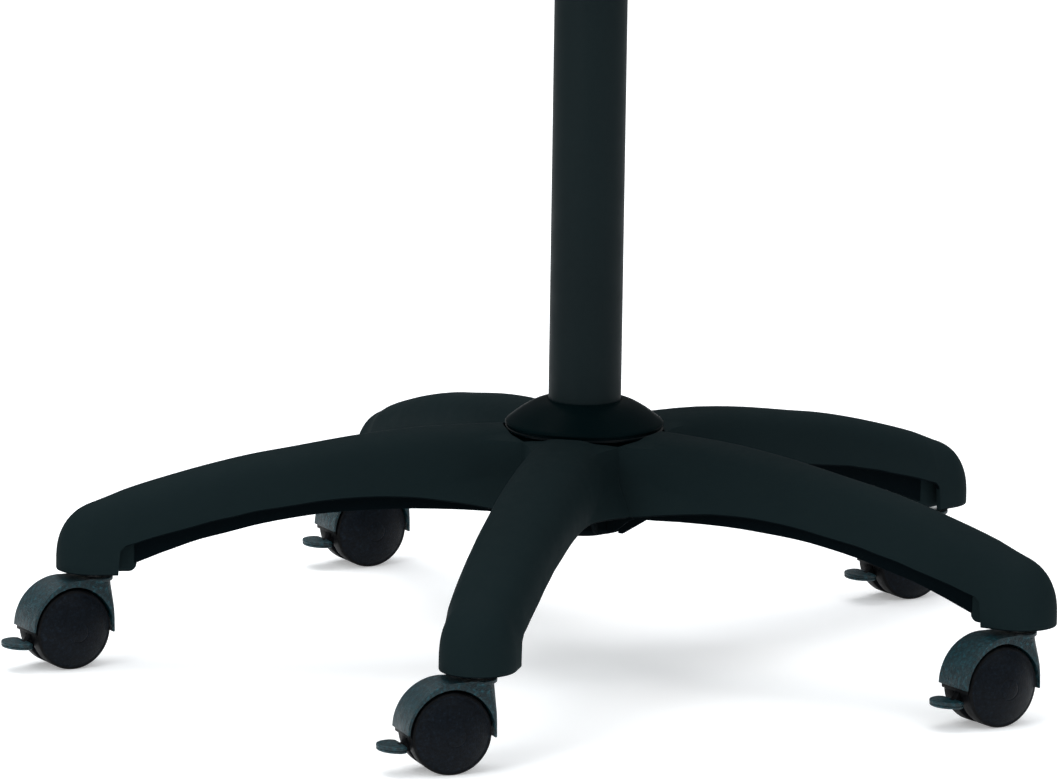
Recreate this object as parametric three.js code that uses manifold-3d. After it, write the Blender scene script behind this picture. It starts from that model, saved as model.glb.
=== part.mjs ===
// Adjustable swivel stool: five-star moulded base on braked twin-wheel casters,
// gas-spring column, seat mechanism with a release lever, and a round padded seat.
// Millimetres, +Z up. Origin: the point on the floor under the column's axis.
import * as THREE from 'three';
import { mergeVertices } from 'three/addons/utils/BufferGeometryUtils.js';
import Module from 'manifold-3d';

const wasm = await Module();
wasm.setup();

// ------------------------------------------------------------ driving sizes
const STEM_CIRCLE_R = 305;        // caster stems lie on this radius
const ARM_AZIMUTH = [186.53, 258.53, 330.53, 42.53, 114.53];   // deg, one per arm
const TRAIL_TURN = [29.5, 20.5, 34, 31, 28];                   // deg, how far each caster has swung

// arm shell
const ARM_WALL = 3.6;
// between two arms, by height up the wall (0 lower edge, 1 crest): how far the wall stays from the axis,
// and the angle at which it leaves the valley, 54 being a smooth turn and less a crease
const VALLEY_R = [[0, 69], [0.22, 59], [0.36, 52.8], [0.47, 51.8], [0.864, 51.4], [0.9, 48], [0.94, 41], [1, 28]];
const VALLEY_TURN = [[0, 24], [0.4, 22], [0.5, 24], [0.7, 27], [0.864, 34], [0.9, 42], [0.94, 54], [1, 54]];
const NOSE_LEN = 23.8;            // the boot's end, past the stem axis
const BOOT_START = 291;           // the side walls drop to the boot here
const BOOT_BOTTOM = 59.8;
const HALF_WIDTH = [[0, 26.6], [110, 26.6], [140, 26.3], [180, 25.7], [220, 25.1], [250, 24.8], [280, 24.1], [291, 23.6], [305, 23.3], [400, 23.3]];
const CREST_Z = [[0, 149.2], [52, 149], [76, 148.3], [99, 147.2], [113, 145.9], [142, 142.1], [164, 138.4], [179, 135.7], [207, 130.8], [232, 125], [258, 117.9], [284.5, 109.7], [298, 104.4], [305, 101.6], [329, 95.2]];
const EDGE_Z = [[0, 103], [56.6, 103], [71.4, 104.6], [90.4, 106.7], [109.5, 108.4], [128.5, 108.9], [147.5, 108.1], [166.5, 106.2], [179, 104.2], [193, 102], [206.7, 99.9], [219.4, 96.8], [234.5, 93.5], [245.7, 90.2], [256.7, 87.3], [272, 83], [281.1, 79.9], [286.5, 78.2], [289.2, 76.2], [290.6, 72.8], [BOOT_START, 66], [BOOT_START + 0.3, BOOT_BOTTOM], [400, BOOT_BOTTOM]];
const RIB_Z = [[0, 86], [28, 86], [45, 96.5], [58, 97], [80, 98.4], [112, 99.2], [137, 98.4], [162, 96.8], [181, 94.2], [203, 90.2], [225, 84.6], [241, 80.6], [257, 75], [271, 69.8], [279.6, 65.8], [400, 65.8]];
const RIB_Y = 14;                 // centre of each longitudinal rib
const RIB_T = 2.6;

// hub
const HUB_BOSS_R = 28.5;
const HUB_BOSS_BOTTOM = 83.6;
const GUSSET = [[26, 82.8], [29, 82.8], [62, 103.8]];   // lower edge of the plate under each arm's root
const POCKET_R = 50.6;
const POCKET_Z = 142.4;

// column
const TUBE_R = 22.65;             // 45.3 mm tube
const TUBE_BORE_R = 20.65;
const TUBE_BOTTOM = 81;
const TUBE_TOP = 445;
const CYL_R = 14;                 // 28 mm pressure cylinder
const ROD_R = 5;
const LIFT = 60;                  // modelled this far above the lowest seat position
const GAP = 0.3;

// casters (each in its own frame: +X trails from the stem, +Y along the axle)
const AXLE_X = 20.2;
const AXLE_Z = 25;
const WHEEL_R = 25;
const WHEEL_SEGS = 16;
const HOOD_HALF = 14.5;
const HOOD_IN_R = 26.2;
const HOOD_TOP = 55.5;
const STEM_R = 5.5;

// seat
const MECH_BOTTOM = 458 + LIFT;   // 518
const PLATE_Z = 575;
const PAN_Z = 578.3;
const PAN_T = 12;
const PAN_R = 165;
const SEAT_R = 180;
const SEAT_TOP = 655;
const SCREW_XY = 65;

// ------------------------------------------------------------ helpers
const rad = THREE.MathUtils.degToRad;

function lerpTable(t, x) {
  if (x <= t[0][0]) return t[0][1];
  for (let i = 1; i < t.length; i++) {
    if (x <= t[i][0]) {
      const [x0, y0] = t[i - 1], [x1, y1] = t[i];
      return y0 + (y1 - y0) * (x - x0) / (x1 - x0);
    }
  }
  return t[t.length - 1][1];
}

// merges shared corners, drops empty triangles and turns the faces outwards
function tidy(geom) {
  const g0 = geom.clone();
  for (const n of Object.keys(g0.attributes)) if (n !== 'position') g0.deleteAttribute(n);
  const g = mergeVertices(g0, 1e-4);
  const p = g.attributes.position.array;
  const src = g.index.array;
  const out = [];
  let vol = 0;
  for (let i = 0; i < src.length; i += 3) {
    const a = src[i], b = src[i + 1], c = src[i + 2];
    if (a === b || b === c || c === a) continue;
    out.push(a, b, c);
    const ax = p[3 * a], ay = p[3 * a + 1], az = p[3 * a + 2];
    const bx = p[3 * b], by = p[3 * b + 1], bz = p[3 * b + 2];
    const cx = p[3 * c], cy = p[3 * c + 1], cz = p[3 * c + 2];
    vol += ax * (by * cz - bz * cy) + ay * (bz * cx - bx * cz) + az * (bx * cy - by * cx);
  }
  if (vol < 0) for (let i = 0; i < out.length; i += 3) [out[i + 1], out[i + 2]] = [out[i + 2], out[i + 1]];
  const r = new THREE.BufferGeometry();
  r.setAttribute('position', new THREE.BufferAttribute(new Float32Array(p), 3));
  r.setIndex(out);
  return r;
}

function solidOf(geom) {
  const g = tidy(geom);
  return new wasm.Manifold(new wasm.Mesh({
    numProp: 3,
    vertProperties: new Float32Array(g.attributes.position.array),
    triVerts: new Uint32Array(g.index.array),
  }));
}

function geomOf(man) {
  const m = man.getMesh();
  const n = m.numProp;
  const verts = new Float32Array((m.vertProperties.length / n) * 3);
  for (let i = 0; i < verts.length / 3; i++) for (let k = 0; k < 3; k++) verts[3 * i + k] = m.vertProperties[n * i + k];
  const g = new THREE.BufferGeometry();
  g.setAttribute('position', new THREE.BufferAttribute(verts, 3));
  g.setIndex(Array.from(m.triVerts));
  return g;
}

const lathe = (profile, segs = 32) =>
  new THREE.LatheGeometry(profile.map(([r, z]) => new THREE.Vector2(r, z)), segs).rotateX(Math.PI / 2);

// a closed ring section turned about Z
const ring = (profile, segs = 32) => lathe([...profile, profile[0]], segs);

// a plan polygon pushed up from z0 to z1
function prism(points, z0, z1) {
  const s = new THREE.Shape(points.map(([x, y]) => new THREE.Vector2(x, y)));
  return new THREE.ExtrudeGeometry(s, { depth: z1 - z0, bevelEnabled: false, curveSegments: 8 }).translate(0, 0, z0);
}

// a polygon in the X-Z plane pushed along Y from y0 to y1
const slab = (points, y0, y1) => prism(points, -y1, -y0).rotateX(Math.PI / 2);

const box = (x0, x1, y0, y1, z0, z1) =>
  new THREE.BoxGeometry(x1 - x0, y1 - y0, z1 - z0).translate((x0 + x1) / 2, (y0 + y1) / 2, (z0 + z1) / 2);

const rodZ = (r, z0, z1, segs = 16, x = 0, y = 0) =>
  new THREE.CylinderGeometry(r, r, z1 - z0, segs).rotateX(Math.PI / 2).translate(x, y, (z0 + z1) / 2);

const rodY = (r, y0, y1, segs = 16, x = 0, z = 0) =>
  new THREE.CylinderGeometry(r, r, y1 - y0, segs).translate(x, (y0 + y1) / 2, z);

const arc = (cx, cy, r, a0, a1, n) =>
  Array.from({ length: n + 1 }, (_, i) => {
    const a = rad(a0 + (a1 - a0) * i / n);
    return [cx + r * Math.cos(a), cy + r * Math.sin(a)];
  });

// skins a stack of equal-length closed loops and closes both ends
function loft(loops) {
  const n = loops[0].length;
  const pos = [];
  for (const l of loops) for (const p of l) pos.push(...p);
  const idx = [];
  for (let i = 0; i + 1 < loops.length; i++) {
    for (let j = 0; j < n; j++) {
      const k = (j + 1) % n;
      const a = i * n + j, b = i * n + k, c = (i + 1) * n + j, d = (i + 1) * n + k;
      idx.push(a, b, d, a, d, c);
    }
  }
  for (const [row, flip] of [[0, true], [loops.length - 1, false]]) {
    const mid = [0, 0, 0];
    for (const p of loops[row]) for (let k = 0; k < 3; k++) mid[k] += p[k] / n;
    const m = pos.length / 3;
    pos.push(...mid);
    for (let j = 0; j < n; j++) {
      const k = (j + 1) % n;
      if (flip) idx.push(m, row * n + k, row * n + j);
      else idx.push(m, row * n + j, row * n + k);
    }
  }
  const g = new THREE.BufferGeometry();
  g.setAttribute('position', new THREE.BufferAttribute(new Float32Array(pos), 3));
  g.setIndex(idx);
  return g;
}

const MAT = {
  arm: new THREE.MeshStandardMaterial({ color: 0x1b2325, roughness: 0.62, metalness: 0.0 }),
  collar: new THREE.MeshStandardMaterial({ color: 0x05090b, roughness: 0.25, metalness: 0.0 }),
  tube: new THREE.MeshStandardMaterial({ color: 0x1a2123, roughness: 0.5, metalness: 0.3 }),
  caster: new THREE.MeshStandardMaterial({ color: 0x1c252c, roughness: 0.5, metalness: 0.0 }),
  steel: new THREE.MeshStandardMaterial({ color: 0xa9adb0, roughness: 0.35, metalness: 1.0 }),
  black: new THREE.MeshStandardMaterial({ color: 0x15181a, roughness: 0.45, metalness: 0.5 }),
  bush: new THREE.MeshStandardMaterial({ color: 0x202224, roughness: 0.5, metalness: 0.0 }),
  rubber: new THREE.MeshStandardMaterial({ color: 0x111111, roughness: 0.9, metalness: 0.0 }),
  ply: new THREE.MeshStandardMaterial({ color: 0xb08a5a, roughness: 0.7, metalness: 0.0 }),
  vinyl: new THREE.MeshStandardMaterial({ color: 0x17191b, roughness: 0.55, metalness: 0.0 }),
  button: new THREE.MeshStandardMaterial({ color: 0x2f6a3a, roughness: 0.5, metalness: 0.0 }),
};

const stool = new THREE.Group();
function add(name, geom, mat, parent = stool) {
  const m = new THREE.Mesh(tidy(geom), mat.clone());
  m.name = name;
  parent.add(m);
  return m;
}

// ------------------------------------------------------------ star base
// The plan is a family of outlines, one for each height h up the wall: 0 is the shell's
// lower edge, 1 the arms' crest lines. Between two arms each outline turns on an arc that
// meets its neighbour on the line halfway between them.
const HALF_SECTOR = rad(36);
const ARM_STATIONS = [128.5, 165, 210, 255, 288.5, BOOT_START, BOOT_START + 0.3];

// share of the arm's half width reached at height h
const spread = (h) => Math.cbrt(Math.max(0, 1 - h ** 3));

function halfOutline(h, inset, arcSegs, noseSegs) {
  // from the line halfway between two arms, along one side of the arm, to its end
  const c36 = Math.cos(HALF_SECTOR), s36 = Math.sin(HALF_SECTOR);
  const e = spread(h);
  const rv = lerpTable(VALLEY_R, h), turn = rad(lerpTable(VALLEY_TURN, h));
  const w = HALF_WIDTH[0][1] * e;
  const bend = (rv * s36 - w) / (1 - Math.cos(turn));
  const cx = rv * c36 + bend * Math.sin(turn), cy = w + bend;
  const reach = bend + inset * e;
  const off = cx * s36 - cy * c36;
  const start = cx * c36 + cy * s36 - Math.sqrt(reach * reach - off * off);
  let a0 = Math.atan2(start * s36 - cy, start * c36 - cx);
  if (a0 < 0) a0 += 2 * Math.PI;
  const pts = [];
  for (let i = 0; i <= arcSegs; i++) {
    const a = a0 + (1.5 * Math.PI - a0) * i / arcSegs;
    pts.push([cx + reach * Math.cos(a), cy + reach * Math.sin(a)]);
  }
  for (const x of ARM_STATIONS) pts.push([x, e * (lerpTable(HALF_WIDTH, x) - inset)]);
  for (let i = 0; i <= noseSegs; i++) {
    const a = Math.PI / 2 * (1 - i / noseSegs);
    pts.push([STEM_CIRCLE_R + e * (NOSE_LEN - inset) * Math.cos(a), e * (lerpTable(HALF_WIDTH, STEM_CIRCLE_R) - inset) * Math.sin(a)]);
  }
  return pts;
}

function sectionHeight(x, e, inset) {
  const crest = lerpTable(CREST_Z, x) - inset;
  const edge = Math.max(lerpTable(EDGE_Z, Math.min(x, 288)), 0);
  const spring = x > 288 ? Math.min(edge, 66) + (edge - Math.min(edge, 66)) * Math.max(0, (300 - x) / 12) : edge + 1;
  const n = 3 + 0.9 * THREE.MathUtils.clamp((110 - x) / 50, 0, 1) - 0.6 * THREE.MathUtils.clamp((x - 90) / 190, 0, 1);
  return spring + (crest - spring) * Math.pow(Math.max(0, 1 - Math.pow(e, n)), 1 / n);
}

// closed star solid: top skin over the levels, a vertical band, and a lid below
function starSolid(inset, levels, arcSegs, noseSegs, floorZ) {
  const loops = levels.map((h) => {
    const half = halfOutline(h, inset, arcSegs, noseSegs);
    const loop = [];
    for (let k = 0; k < 5; k++) {
      const az = rad(ARM_AZIMUTH[0] + 72 * k);
      const c = Math.cos(az), s = Math.sin(az);
      const side = (sgn, list) => {
        for (const [x, y] of list) loop.push([x * c - sgn * y * s, x * s + sgn * y * c, x]);
      };
      side(-1, half);                                   // right side, hub to tip
      side(1, half.slice(0, -1).reverse().slice(0, -1)); // left side, tip to hub
    }
    return { e: spread(h), loop };
  });
  const n = loops[0].loop.length;
  const pos = [], idx = [];
  const put = (x, y, z) => { pos.push(x, y, z); return pos.length / 3 - 1; };
  const skin = (a, b) => {
    for (let j = 0; j < n; j++) {
      const k = (j + 1) % n;
      idx.push(a[j], a[k], b[k], a[j], b[k], b[j]);
    }
  };
  const lower = loops[0].loop.map(([x, y, q]) => put(x, y, floorZ === null ? lerpTable(EDGE_Z, q) : floorZ));
  let prev = lower;
  for (const { e, loop } of loops) {
    const row = loop.map(([x, y, q]) => put(x, y, sectionHeight(q, e, inset)));
    skin(prev, row);
    prev = row;
  }
  // the flat top inside the crest lines
  const crestZ = CREST_Z[0][1] - inset;
  const top = put(0, 0, crestZ);
  for (let j = 0; j < n; j++) idx.push(prev[j], prev[(j + 1) % n], top);
  // the lid below, on the same plan as the crest lines
  const last = loops[loops.length - 1].loop;
  const under = last.map(([x, y, q]) => put(x, y, floorZ === null ? lerpTable(EDGE_Z, q) : floorZ));
  skin(under, lower);
  const bottom = put(0, 0, floorZ === null ? EDGE_Z[0][1] : floorZ);
  for (let j = 0; j < n; j++) idx.push(under[(j + 1) % n], under[j], bottom);
  const g = new THREE.BufferGeometry();
  g.setAttribute('position', new THREE.BufferAttribute(new Float32Array(pos), 3));
  g.setIndex(idx);
  return g;
}

const outer = solidOf(starSolid(0, [0, 0.22, 0.44, 0.7, 0.88, 0.965, 1], 3, 3, null));
const outerDeep = solidOf(starSolid(1.5, [0, 0.3, 0.6, 0.86, 0.965, 1], 3, 3, 40));
const inner = solidOf(starSolid(ARM_WALL, [0, 0.28, 0.5, 0.78, 0.94, 1], 3, 3, 30));
let base = outer.subtract(inner);

// socket blocks and hub boss, kept under the skin
let innards = solidOf(lathe([[0, HUB_BOSS_BOTTOM], [HUB_BOSS_R - 3, HUB_BOSS_BOTTOM], [HUB_BOSS_R, HUB_BOSS_BOTTOM + 3.4], [HUB_BOSS_R, POCKET_Z - ARM_WALL],
  [POCKET_R + 1, POCKET_Z - ARM_WALL], [POCKET_R + 1, POCKET_Z], [0, POCKET_Z]], 20));
for (let k = 0; k < 5; k++) {
  const block = [[279.4, 160], [279.4, 66.5], [281.2, 62.2], [285.4, 60.4], [332, 60.4], [332, 160]];
  innards = innards.add(solidOf(slab(block, -15, 15).rotateZ(rad(ARM_AZIMUTH[k]))));
}
base = base.add(innards.intersect(outerDeep));

// ribs: their top edges run inside the shell's wall
const wallMid = (x, y) => (x < 60 ? POCKET_Z - 0.4 : sectionHeight(x, Math.abs(y) / lerpTable(HALF_WIDTH, x), 0) - ARM_WALL / 2);
for (let k = 0; k < 5; k++) {
  const az = rad(ARM_AZIMUTH[k]);
  const along = [26, 28, 45, 58, 76, 96, 120, 165, 210, 255, 282];
  const plate = [...along.map((x) => [x, lerpTable(RIB_Z, x)]), ...along.slice().reverse().map((x) => [x, wallMid(x, RIB_Y)])];
  for (const s of [-1, 1]) {
    base = base.add(solidOf(slab(plate, s * RIB_Y - RIB_T / 2, s * RIB_Y + RIB_T / 2).rotateZ(az)));
  }
  base = base.add(solidOf(slab([...GUSSET, [62, wallMid(62, 0)], [54, POCKET_Z - 0.4], [26, POCKET_Z - 0.4]], -RIB_T / 2, RIB_T / 2).rotateZ(az)));
  for (const x of [104, 156, 212]) {
    const z = lerpTable(RIB_Z, x) + 1.5;
    const web = [[-RIB_Y, z], [RIB_Y, z], [RIB_Y, wallMid(x, RIB_Y)], [0, wallMid(x, 0)], [-RIB_Y, wallMid(x, RIB_Y)]];
    base = base.add(solidOf(prism(web, -1.2, 1.2).rotateX(Math.PI / 2).rotateZ(Math.PI / 2).translate(x, 0, 0).rotateZ(az)));
  }
}
// pocket for the collar, and the tapered bore for the sleeve
base = base.subtract(solidOf(lathe([[0, POCKET_Z], [POCKET_R, POCKET_Z], [POCKET_R, 170], [0, 170]], 24)));
base = base.subtract(solidOf(lathe([[0, 70], [23.4, 70], [25.4, 160], [0, 160]], 20)));
for (let k = 0; k < 5; k++) {
  const az = rad(ARM_AZIMUTH[k]);
  base = base.subtract(solidOf(rodZ(8.35, 50, 96, 12, STEM_CIRCLE_R, 0).rotateZ(az)));
}
add('star_base', geomOf(base), MAT.arm);

// steel sleeve pressed into the hub: takes the column's taper
add('hub_sleeve', ring([[21.15, 88], [23.5, 88], [24.7, 141.5], [22.5, 141.5]], 20), MAT.steel);

// collar over the hub: a low glossy dome with a grooved rim
add('base_collar', ring([
  [23.15, 165.8], [25, 165.5], [30, 164.1], [36, 161.1], [42, 157.2], [46, 154.1], [48.4, 152.2], [49.5, 151],
  [49.5, 146.1], [45.2, 146.1], [45.2, POCKET_Z + GAP], [42.4, POCKET_Z + GAP],
  [42.4, 152.4], [36, 157], [29, 161], [23.15, 162.6],
], 32), MAT.collar);

// ------------------------------------------------------------ column
add('stand_tube', ring([
  [11.6, TUBE_BOTTOM], [15.8, TUBE_BOTTOM], [20.3, 85], [20.75, 88], [TUBE_R - 0.6, 142], [TUBE_R, 151], [TUBE_R, TUBE_TOP], [TUBE_BORE_R, TUBE_TOP],
  [TUBE_BORE_R, 150], [18.4, 88], [17.4, 85.8], [6.5, 85.2], [6.5, TUBE_BOTTOM + 1.9], [11.6, TUBE_BOTTOM + 1.9],
], 24), MAT.tube);

add('guide_bush', ring([
  [CYL_R + GAP, TUBE_TOP - 60], [TUBE_BORE_R - GAP, TUBE_TOP - 60], [TUBE_BORE_R - GAP, TUBE_TOP + GAP], [TUBE_R - 0.4, TUBE_TOP + GAP],
  [TUBE_R - 0.4, TUBE_TOP + 3.2], [TUBE_R - 2, TUBE_TOP + 4.6], [CYL_R + GAP, TUBE_TOP + 4.6],
], 24), MAT.bush);

// thrust bearing on the tube's floor; the rod hangs through it and is clipped below
add('bearing_lower_race', ring([[6.2, 86.6], [16, 86.6], [16, 88.8], [6.2, 88.8]], 16), MAT.steel);
add('bearing_ball_cage', ring([[6.8, 89.1], [15, 89.1], [15, 92.6], [6.8, 92.6]], 16), MAT.steel);
add('bearing_upper_race', ring([[ROD_R + GAP, 92.9], [16, 92.9], [16, 95.1], [ROD_R + GAP, 95.1]], 16), MAT.steel);
add('rubber_buffer', ring([[ROD_R + GAP, 95.4], [13, 95.4], [14.4, 98], [14.4, 108.6], [ROD_R + GAP, 108.6]], 16), MAT.rubber);
add('piston_rod', lathe([[0, 79.4], [4.2, 79.4], [4.2, 81.1], [3.4, 81.1], [3.4, 82.9], [4.2, 82.9], [4.2, 92.6], [ROD_R, 92.6], [ROD_R, 396], [3.2, 396], [3.2, 414], [0, 414]], 12), MAT.steel);
add('piston', ring([[3.5, 396.3], [11.3, 396.3], [11.3, 410.3], [3.5, 410.3]], 16), MAT.black);
add('retaining_clip', ring([[3.7, 81.4], [9.8, 81.4], [9.8, 82.6], [3.7, 82.6]], 16), MAT.steel);

const CYL_BOTTOM = 125 + LIFT;
const CYL_TOP = MECH_BOTTOM + 48;
add('pressure_cylinder', lathe([
  [0, CYL_TOP - 22], [4.3, CYL_TOP - 22], [4.3, CYL_TOP], [13.4, CYL_TOP], [CYL_R, MECH_BOTTOM],
  [CYL_R, CYL_BOTTOM], [ROD_R + GAP, CYL_BOTTOM], [ROD_R + GAP, CYL_BOTTOM + 14], [11.8, CYL_BOTTOM + 14],
  [11.8, 500], [0, 500],
], 20), MAT.black);
add('release_pin', lathe([[0, CYL_TOP - 17], [4, CYL_TOP - 17], [4, CYL_TOP + 3.8], [0, CYL_TOP + 3.8]], 12), MAT.button);

// ------------------------------------------------------------ seat mechanism
{
  const X = 46, Y = 34, T = 2.6, LOW = 536;
  const corner = (hx, hy, r) => [
    ...arc(hx - r, hy - r, r, 0, 90, 2), ...arc(-hx + r, hy - r, r, 90, 180, 2),
    ...arc(-hx + r, -hy + r, r, 180, 270, 2), ...arc(hx - r, -hy + r, r, 270, 360, 2)];
  let m = solidOf(prism(corner(84, 84, 12), PLATE_Z, PLATE_Z + 3));
  m = m.add(solidOf(prism(corner(X, Y, 8), LOW, PLATE_Z + 1)));
  m = m.subtract(solidOf(prism(corner(X - T, Y - T, 5.4), LOW + T, PLATE_Z + 5)));
  m = m.add(solidOf(rodZ(19, MECH_BOTTOM, 562, 16)));
  m = m.subtract(solidOf(lathe([[0, MECH_BOTTOM - 2], [CYL_R + GAP, MECH_BOTTOM - 2], [CYL_R + GAP, MECH_BOTTOM], [13.85, 564], [0, 564]], 16)));
  // slot for the lever, and the pivot pin's holes
  m = m.subtract(solidOf(box(X - 6, X + 6, -7, 7, 550, 574)));
  m = m.subtract(solidOf(rodY(2.8, -Y - 4, Y + 4, 12, 30, 567)));
  for (const x of [-SCREW_XY, SCREW_XY]) for (const y of [-SCREW_XY, SCREW_XY]) {
    m = m.subtract(solidOf(rodZ(3.5, PLATE_Z - 3, PLATE_Z + 6, 8, x, y)));
  }
  add('seat_mechanism', geomOf(m), MAT.black);
}
add('lever_pivot_pin', rodY(2.5, -36.5, 36.5, 12, 30, 567), MAT.steel);

// release lever: a bent steel rod with a flattened pivot boss, its inner end over the pin
{
  const path = new THREE.CatmullRomCurve3([
    new THREE.Vector3(36, 0, 566), new THREE.Vector3(48, 0, 563), new THREE.Vector3(66, 0, 556),
    new THREE.Vector3(92, 0, 550), new THREE.Vector3(130, 0, 548), new THREE.Vector3(176, 0, 548)]);
  const sec = new THREE.Shape(arc(0, 0, 3.8, 0, 315, 7).map(([x, y]) => new THREE.Vector2(x, y)));
  let m = solidOf(new THREE.ExtrudeGeometry(sec, { steps: 8, bevelEnabled: false, extrudePath: path }));
  m = m.add(solidOf(slab([[-6, 570.2], [14.6, 570], [22, 562.5], [30, 560.4], [40, 562], [42, 569.5], [36, 572.6], [26, 573.4], [-4, 573.4], [-6, 572.4]], -4.5, 4.5)));
  m = m.subtract(solidOf(rodY(2.8, -9, 9, 12, 30, 567)));
  add('release_lever', geomOf(m), MAT.black);
  // moulded paddle grip pushed over the lever's end
  const loops = [];
  for (const [x, hy, hz, zc] of [[140, 5.2, 5.4, 548], [144, 6.4, 6.2, 548], [156, 8.5, 6.4, 548], [172, 11, 6, 547.6], [188, 12.2, 5.2, 547], [199, 10.4, 4.4, 546.6], [204, 6, 2.8, 546.5]]) {
    loops.push(Array.from({ length: 10 }, (_, i) => {
      const a = 2 * Math.PI * i / 10;
      return [x, hy * Math.cos(a), zc + hz * Math.sin(a)];
    }));
  }
  let g = solidOf(loft(loops));
  g = g.subtract(solidOf(new THREE.CylinderGeometry(4.2, 4.2, 46, 12).rotateZ(Math.PI / 2).translate(153.5, 0, 548)));
  add('lever_grip', geomOf(g), MAT.caster);
}

// ------------------------------------------------------------ seat
{
  let m = solidOf(lathe([[0, PAN_Z], [PAN_R, PAN_Z], [PAN_R, PAN_Z + PAN_T], [0, PAN_Z + PAN_T]], 32));
  for (const x of [-SCREW_XY, SCREW_XY]) for (const y of [-SCREW_XY, SCREW_XY]) {
    m = m.subtract(solidOf(rodZ(3.5, PAN_Z - 2, PAN_Z + 10.5, 8, x, y)));
  }
  add('seat_pan', geomOf(m), MAT.ply);
}
// padding and cover: a round crowned cushion that wraps the pan's edge
add('seat_cushion', lathe([
  [0, PAN_Z + PAN_T + GAP], [PAN_R + GAP, PAN_Z + PAN_T + GAP], [PAN_R + GAP, PAN_Z + 0.7], [SEAT_R - 9, PAN_Z + 0.7], [SEAT_R - 3, PAN_Z + 5],
  [SEAT_R, PAN_Z + 22], [SEAT_R, PAN_Z + 48], [SEAT_R - 4, PAN_Z + 61], [SEAT_R - 17, PAN_Z + 70], [SEAT_R - 70, SEAT_TOP], [0, SEAT_TOP],
], 32), MAT.vinyl);
let screwNo = 0;
for (const x of [-SCREW_XY, SCREW_XY]) for (const y of [-SCREW_XY, SCREW_XY]) {
  screwNo += 1;
  const m = solidOf(rodZ(5.8, PLATE_Z - 4.3, PLATE_Z - GAP, 6)).add(solidOf(rodZ(3, PLATE_Z - 1, PAN_Z + 9.8, 8)));
  add(`seat_screw_${screwNo}`, geomOf(m), MAT.steel).position.set(x, y, 0);
}

// ------------------------------------------------------------ casters
const cx = AXLE_X, cz = AXLE_Z;
const polar = (r, deg) => [cx + r * Math.cos(rad(deg)), cz + r * Math.sin(rad(deg))];

function hoodSolid() {
  // side view: the arch over the wheels, a flat top, a rear edge down to the legs
  const outerLine = [[2, 28], [27, 28.3], [50, 28.9], [70, 29.7], [90, 30.5]].map(([a, r]) => polar(r, a));
  const innerLine = arc(cx, cz, HOOD_IN_R + 0.4, 187.2, 2.6, 9);
  const side = [...outerLine, [-9.3, HOOD_TOP], [-8.6, 46], [-7.9, 30], [-7.9, 21.6], ...innerLine];
  let m = solidOf(slab(side, -HOOD_HALF, HOOD_HALF));
  // plan view at growing heights: square over the wheels, rounded about the stem on top
  const plan = (hw, back, corner, nose) => {
    const list = [[60, -nose], [60, nose], [18, nose]];
    for (let i = 0; i <= 3; i++) {
      const a = rad(90 + 90 * i / 3);
      list.push([back + corner + corner * Math.cos(a), hw - corner + corner * Math.sin(a)]);
    }
    for (let i = 0; i <= 3; i++) {
      const a = rad(180 + 90 * i / 3);
      list.push([back + corner + corner * Math.cos(a), -(hw - corner) + corner * Math.sin(a)]);
    }
    list.push([18, -nose]);
    return list;
  };
  const levels = [
    [20, plan(14.5, -8, 1, 14.5)], [33, plan(14.5, -8, 2.4, 14.5)],
    [48, plan(12.2, -9, 8.4, 14.3)], [57, plan(10.6, -9.3, 9.2, 13)]];
  m = m.intersect(solidOf(loft(levels.map(([z, l]) => l.map(([x, y]) => [x, y, z])))));
  // the web between the wheels, with the axle's boss and the seat of the brake's pivot
  const web = [...arc(cx, cz, 27, 8, 178, 7), [-5.4, 24], [6, 19.5], ...arc(cx, cz, 7.4, 215, 330, 4), [30.6, 24], [31, 36.2], [38, 36.6], [42.5, 33]];
  m = m.add(solidOf(slab(web, -2.6, 2.6)));
  m = m.add(solidOf(rodZ(11.7, 52.6, HOOD_TOP, 16)));
  m = m.subtract(solidOf(rodZ(STEM_R + GAP, 46.2, 60, 12)));
  m = m.subtract(solidOf(rodY(2.8, -6, 6, 8, cx, cz)));
  return geomOf(m);
}

function wheelGeometry() {
  // turned about the axle; the flats of the tread touch the floor at z = 0
  const k = 1 / Math.cos(Math.PI / WHEEL_SEGS);
  const g = lathe([[0, 14.2], [2.85, 14.2], [2.85, 3.1], [WHEEL_R * k, 3.1], [WHEEL_R * k, 13], [(WHEEL_R - 1) * k, 14.1], [14, 19], [0, 21.4]], WHEEL_SEGS);
  // axis to +Y, then half a step round so that a flat points down
  return g.rotateZ(Math.PI / WHEEL_SEGS).rotateX(-Math.PI / 2);
}

function pedalSolid() {
  const px = 34.6, pz = 31.4;
  const neck = [...arc(px, pz, 3.1, 60, 230, 4), [43.3, 13.6], [52, 15.2], [52, 17.8], [47.2, 18.6], [42.8, 26]];
  let m = solidOf(slab(neck, -2.3, 2.3));
  // a thin wide paddle, round at its outer end
  const tab = [[46.9, -3.4], [47.3, -10.8], ...arc(50.3, 0, 12.3, -90, 90, 8), [47.3, 10.8], [46.9, 3.4]];
  const cut = solidOf(loft([
    tab.map(([x, y]) => [x, y, 14.9]),
    tab.map(([x, y]) => [x, y, 18.05 + 0.04 * (x - 46)]),
  ]));
  m = m.add(cut);
  return geomOf(m);
}

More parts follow.
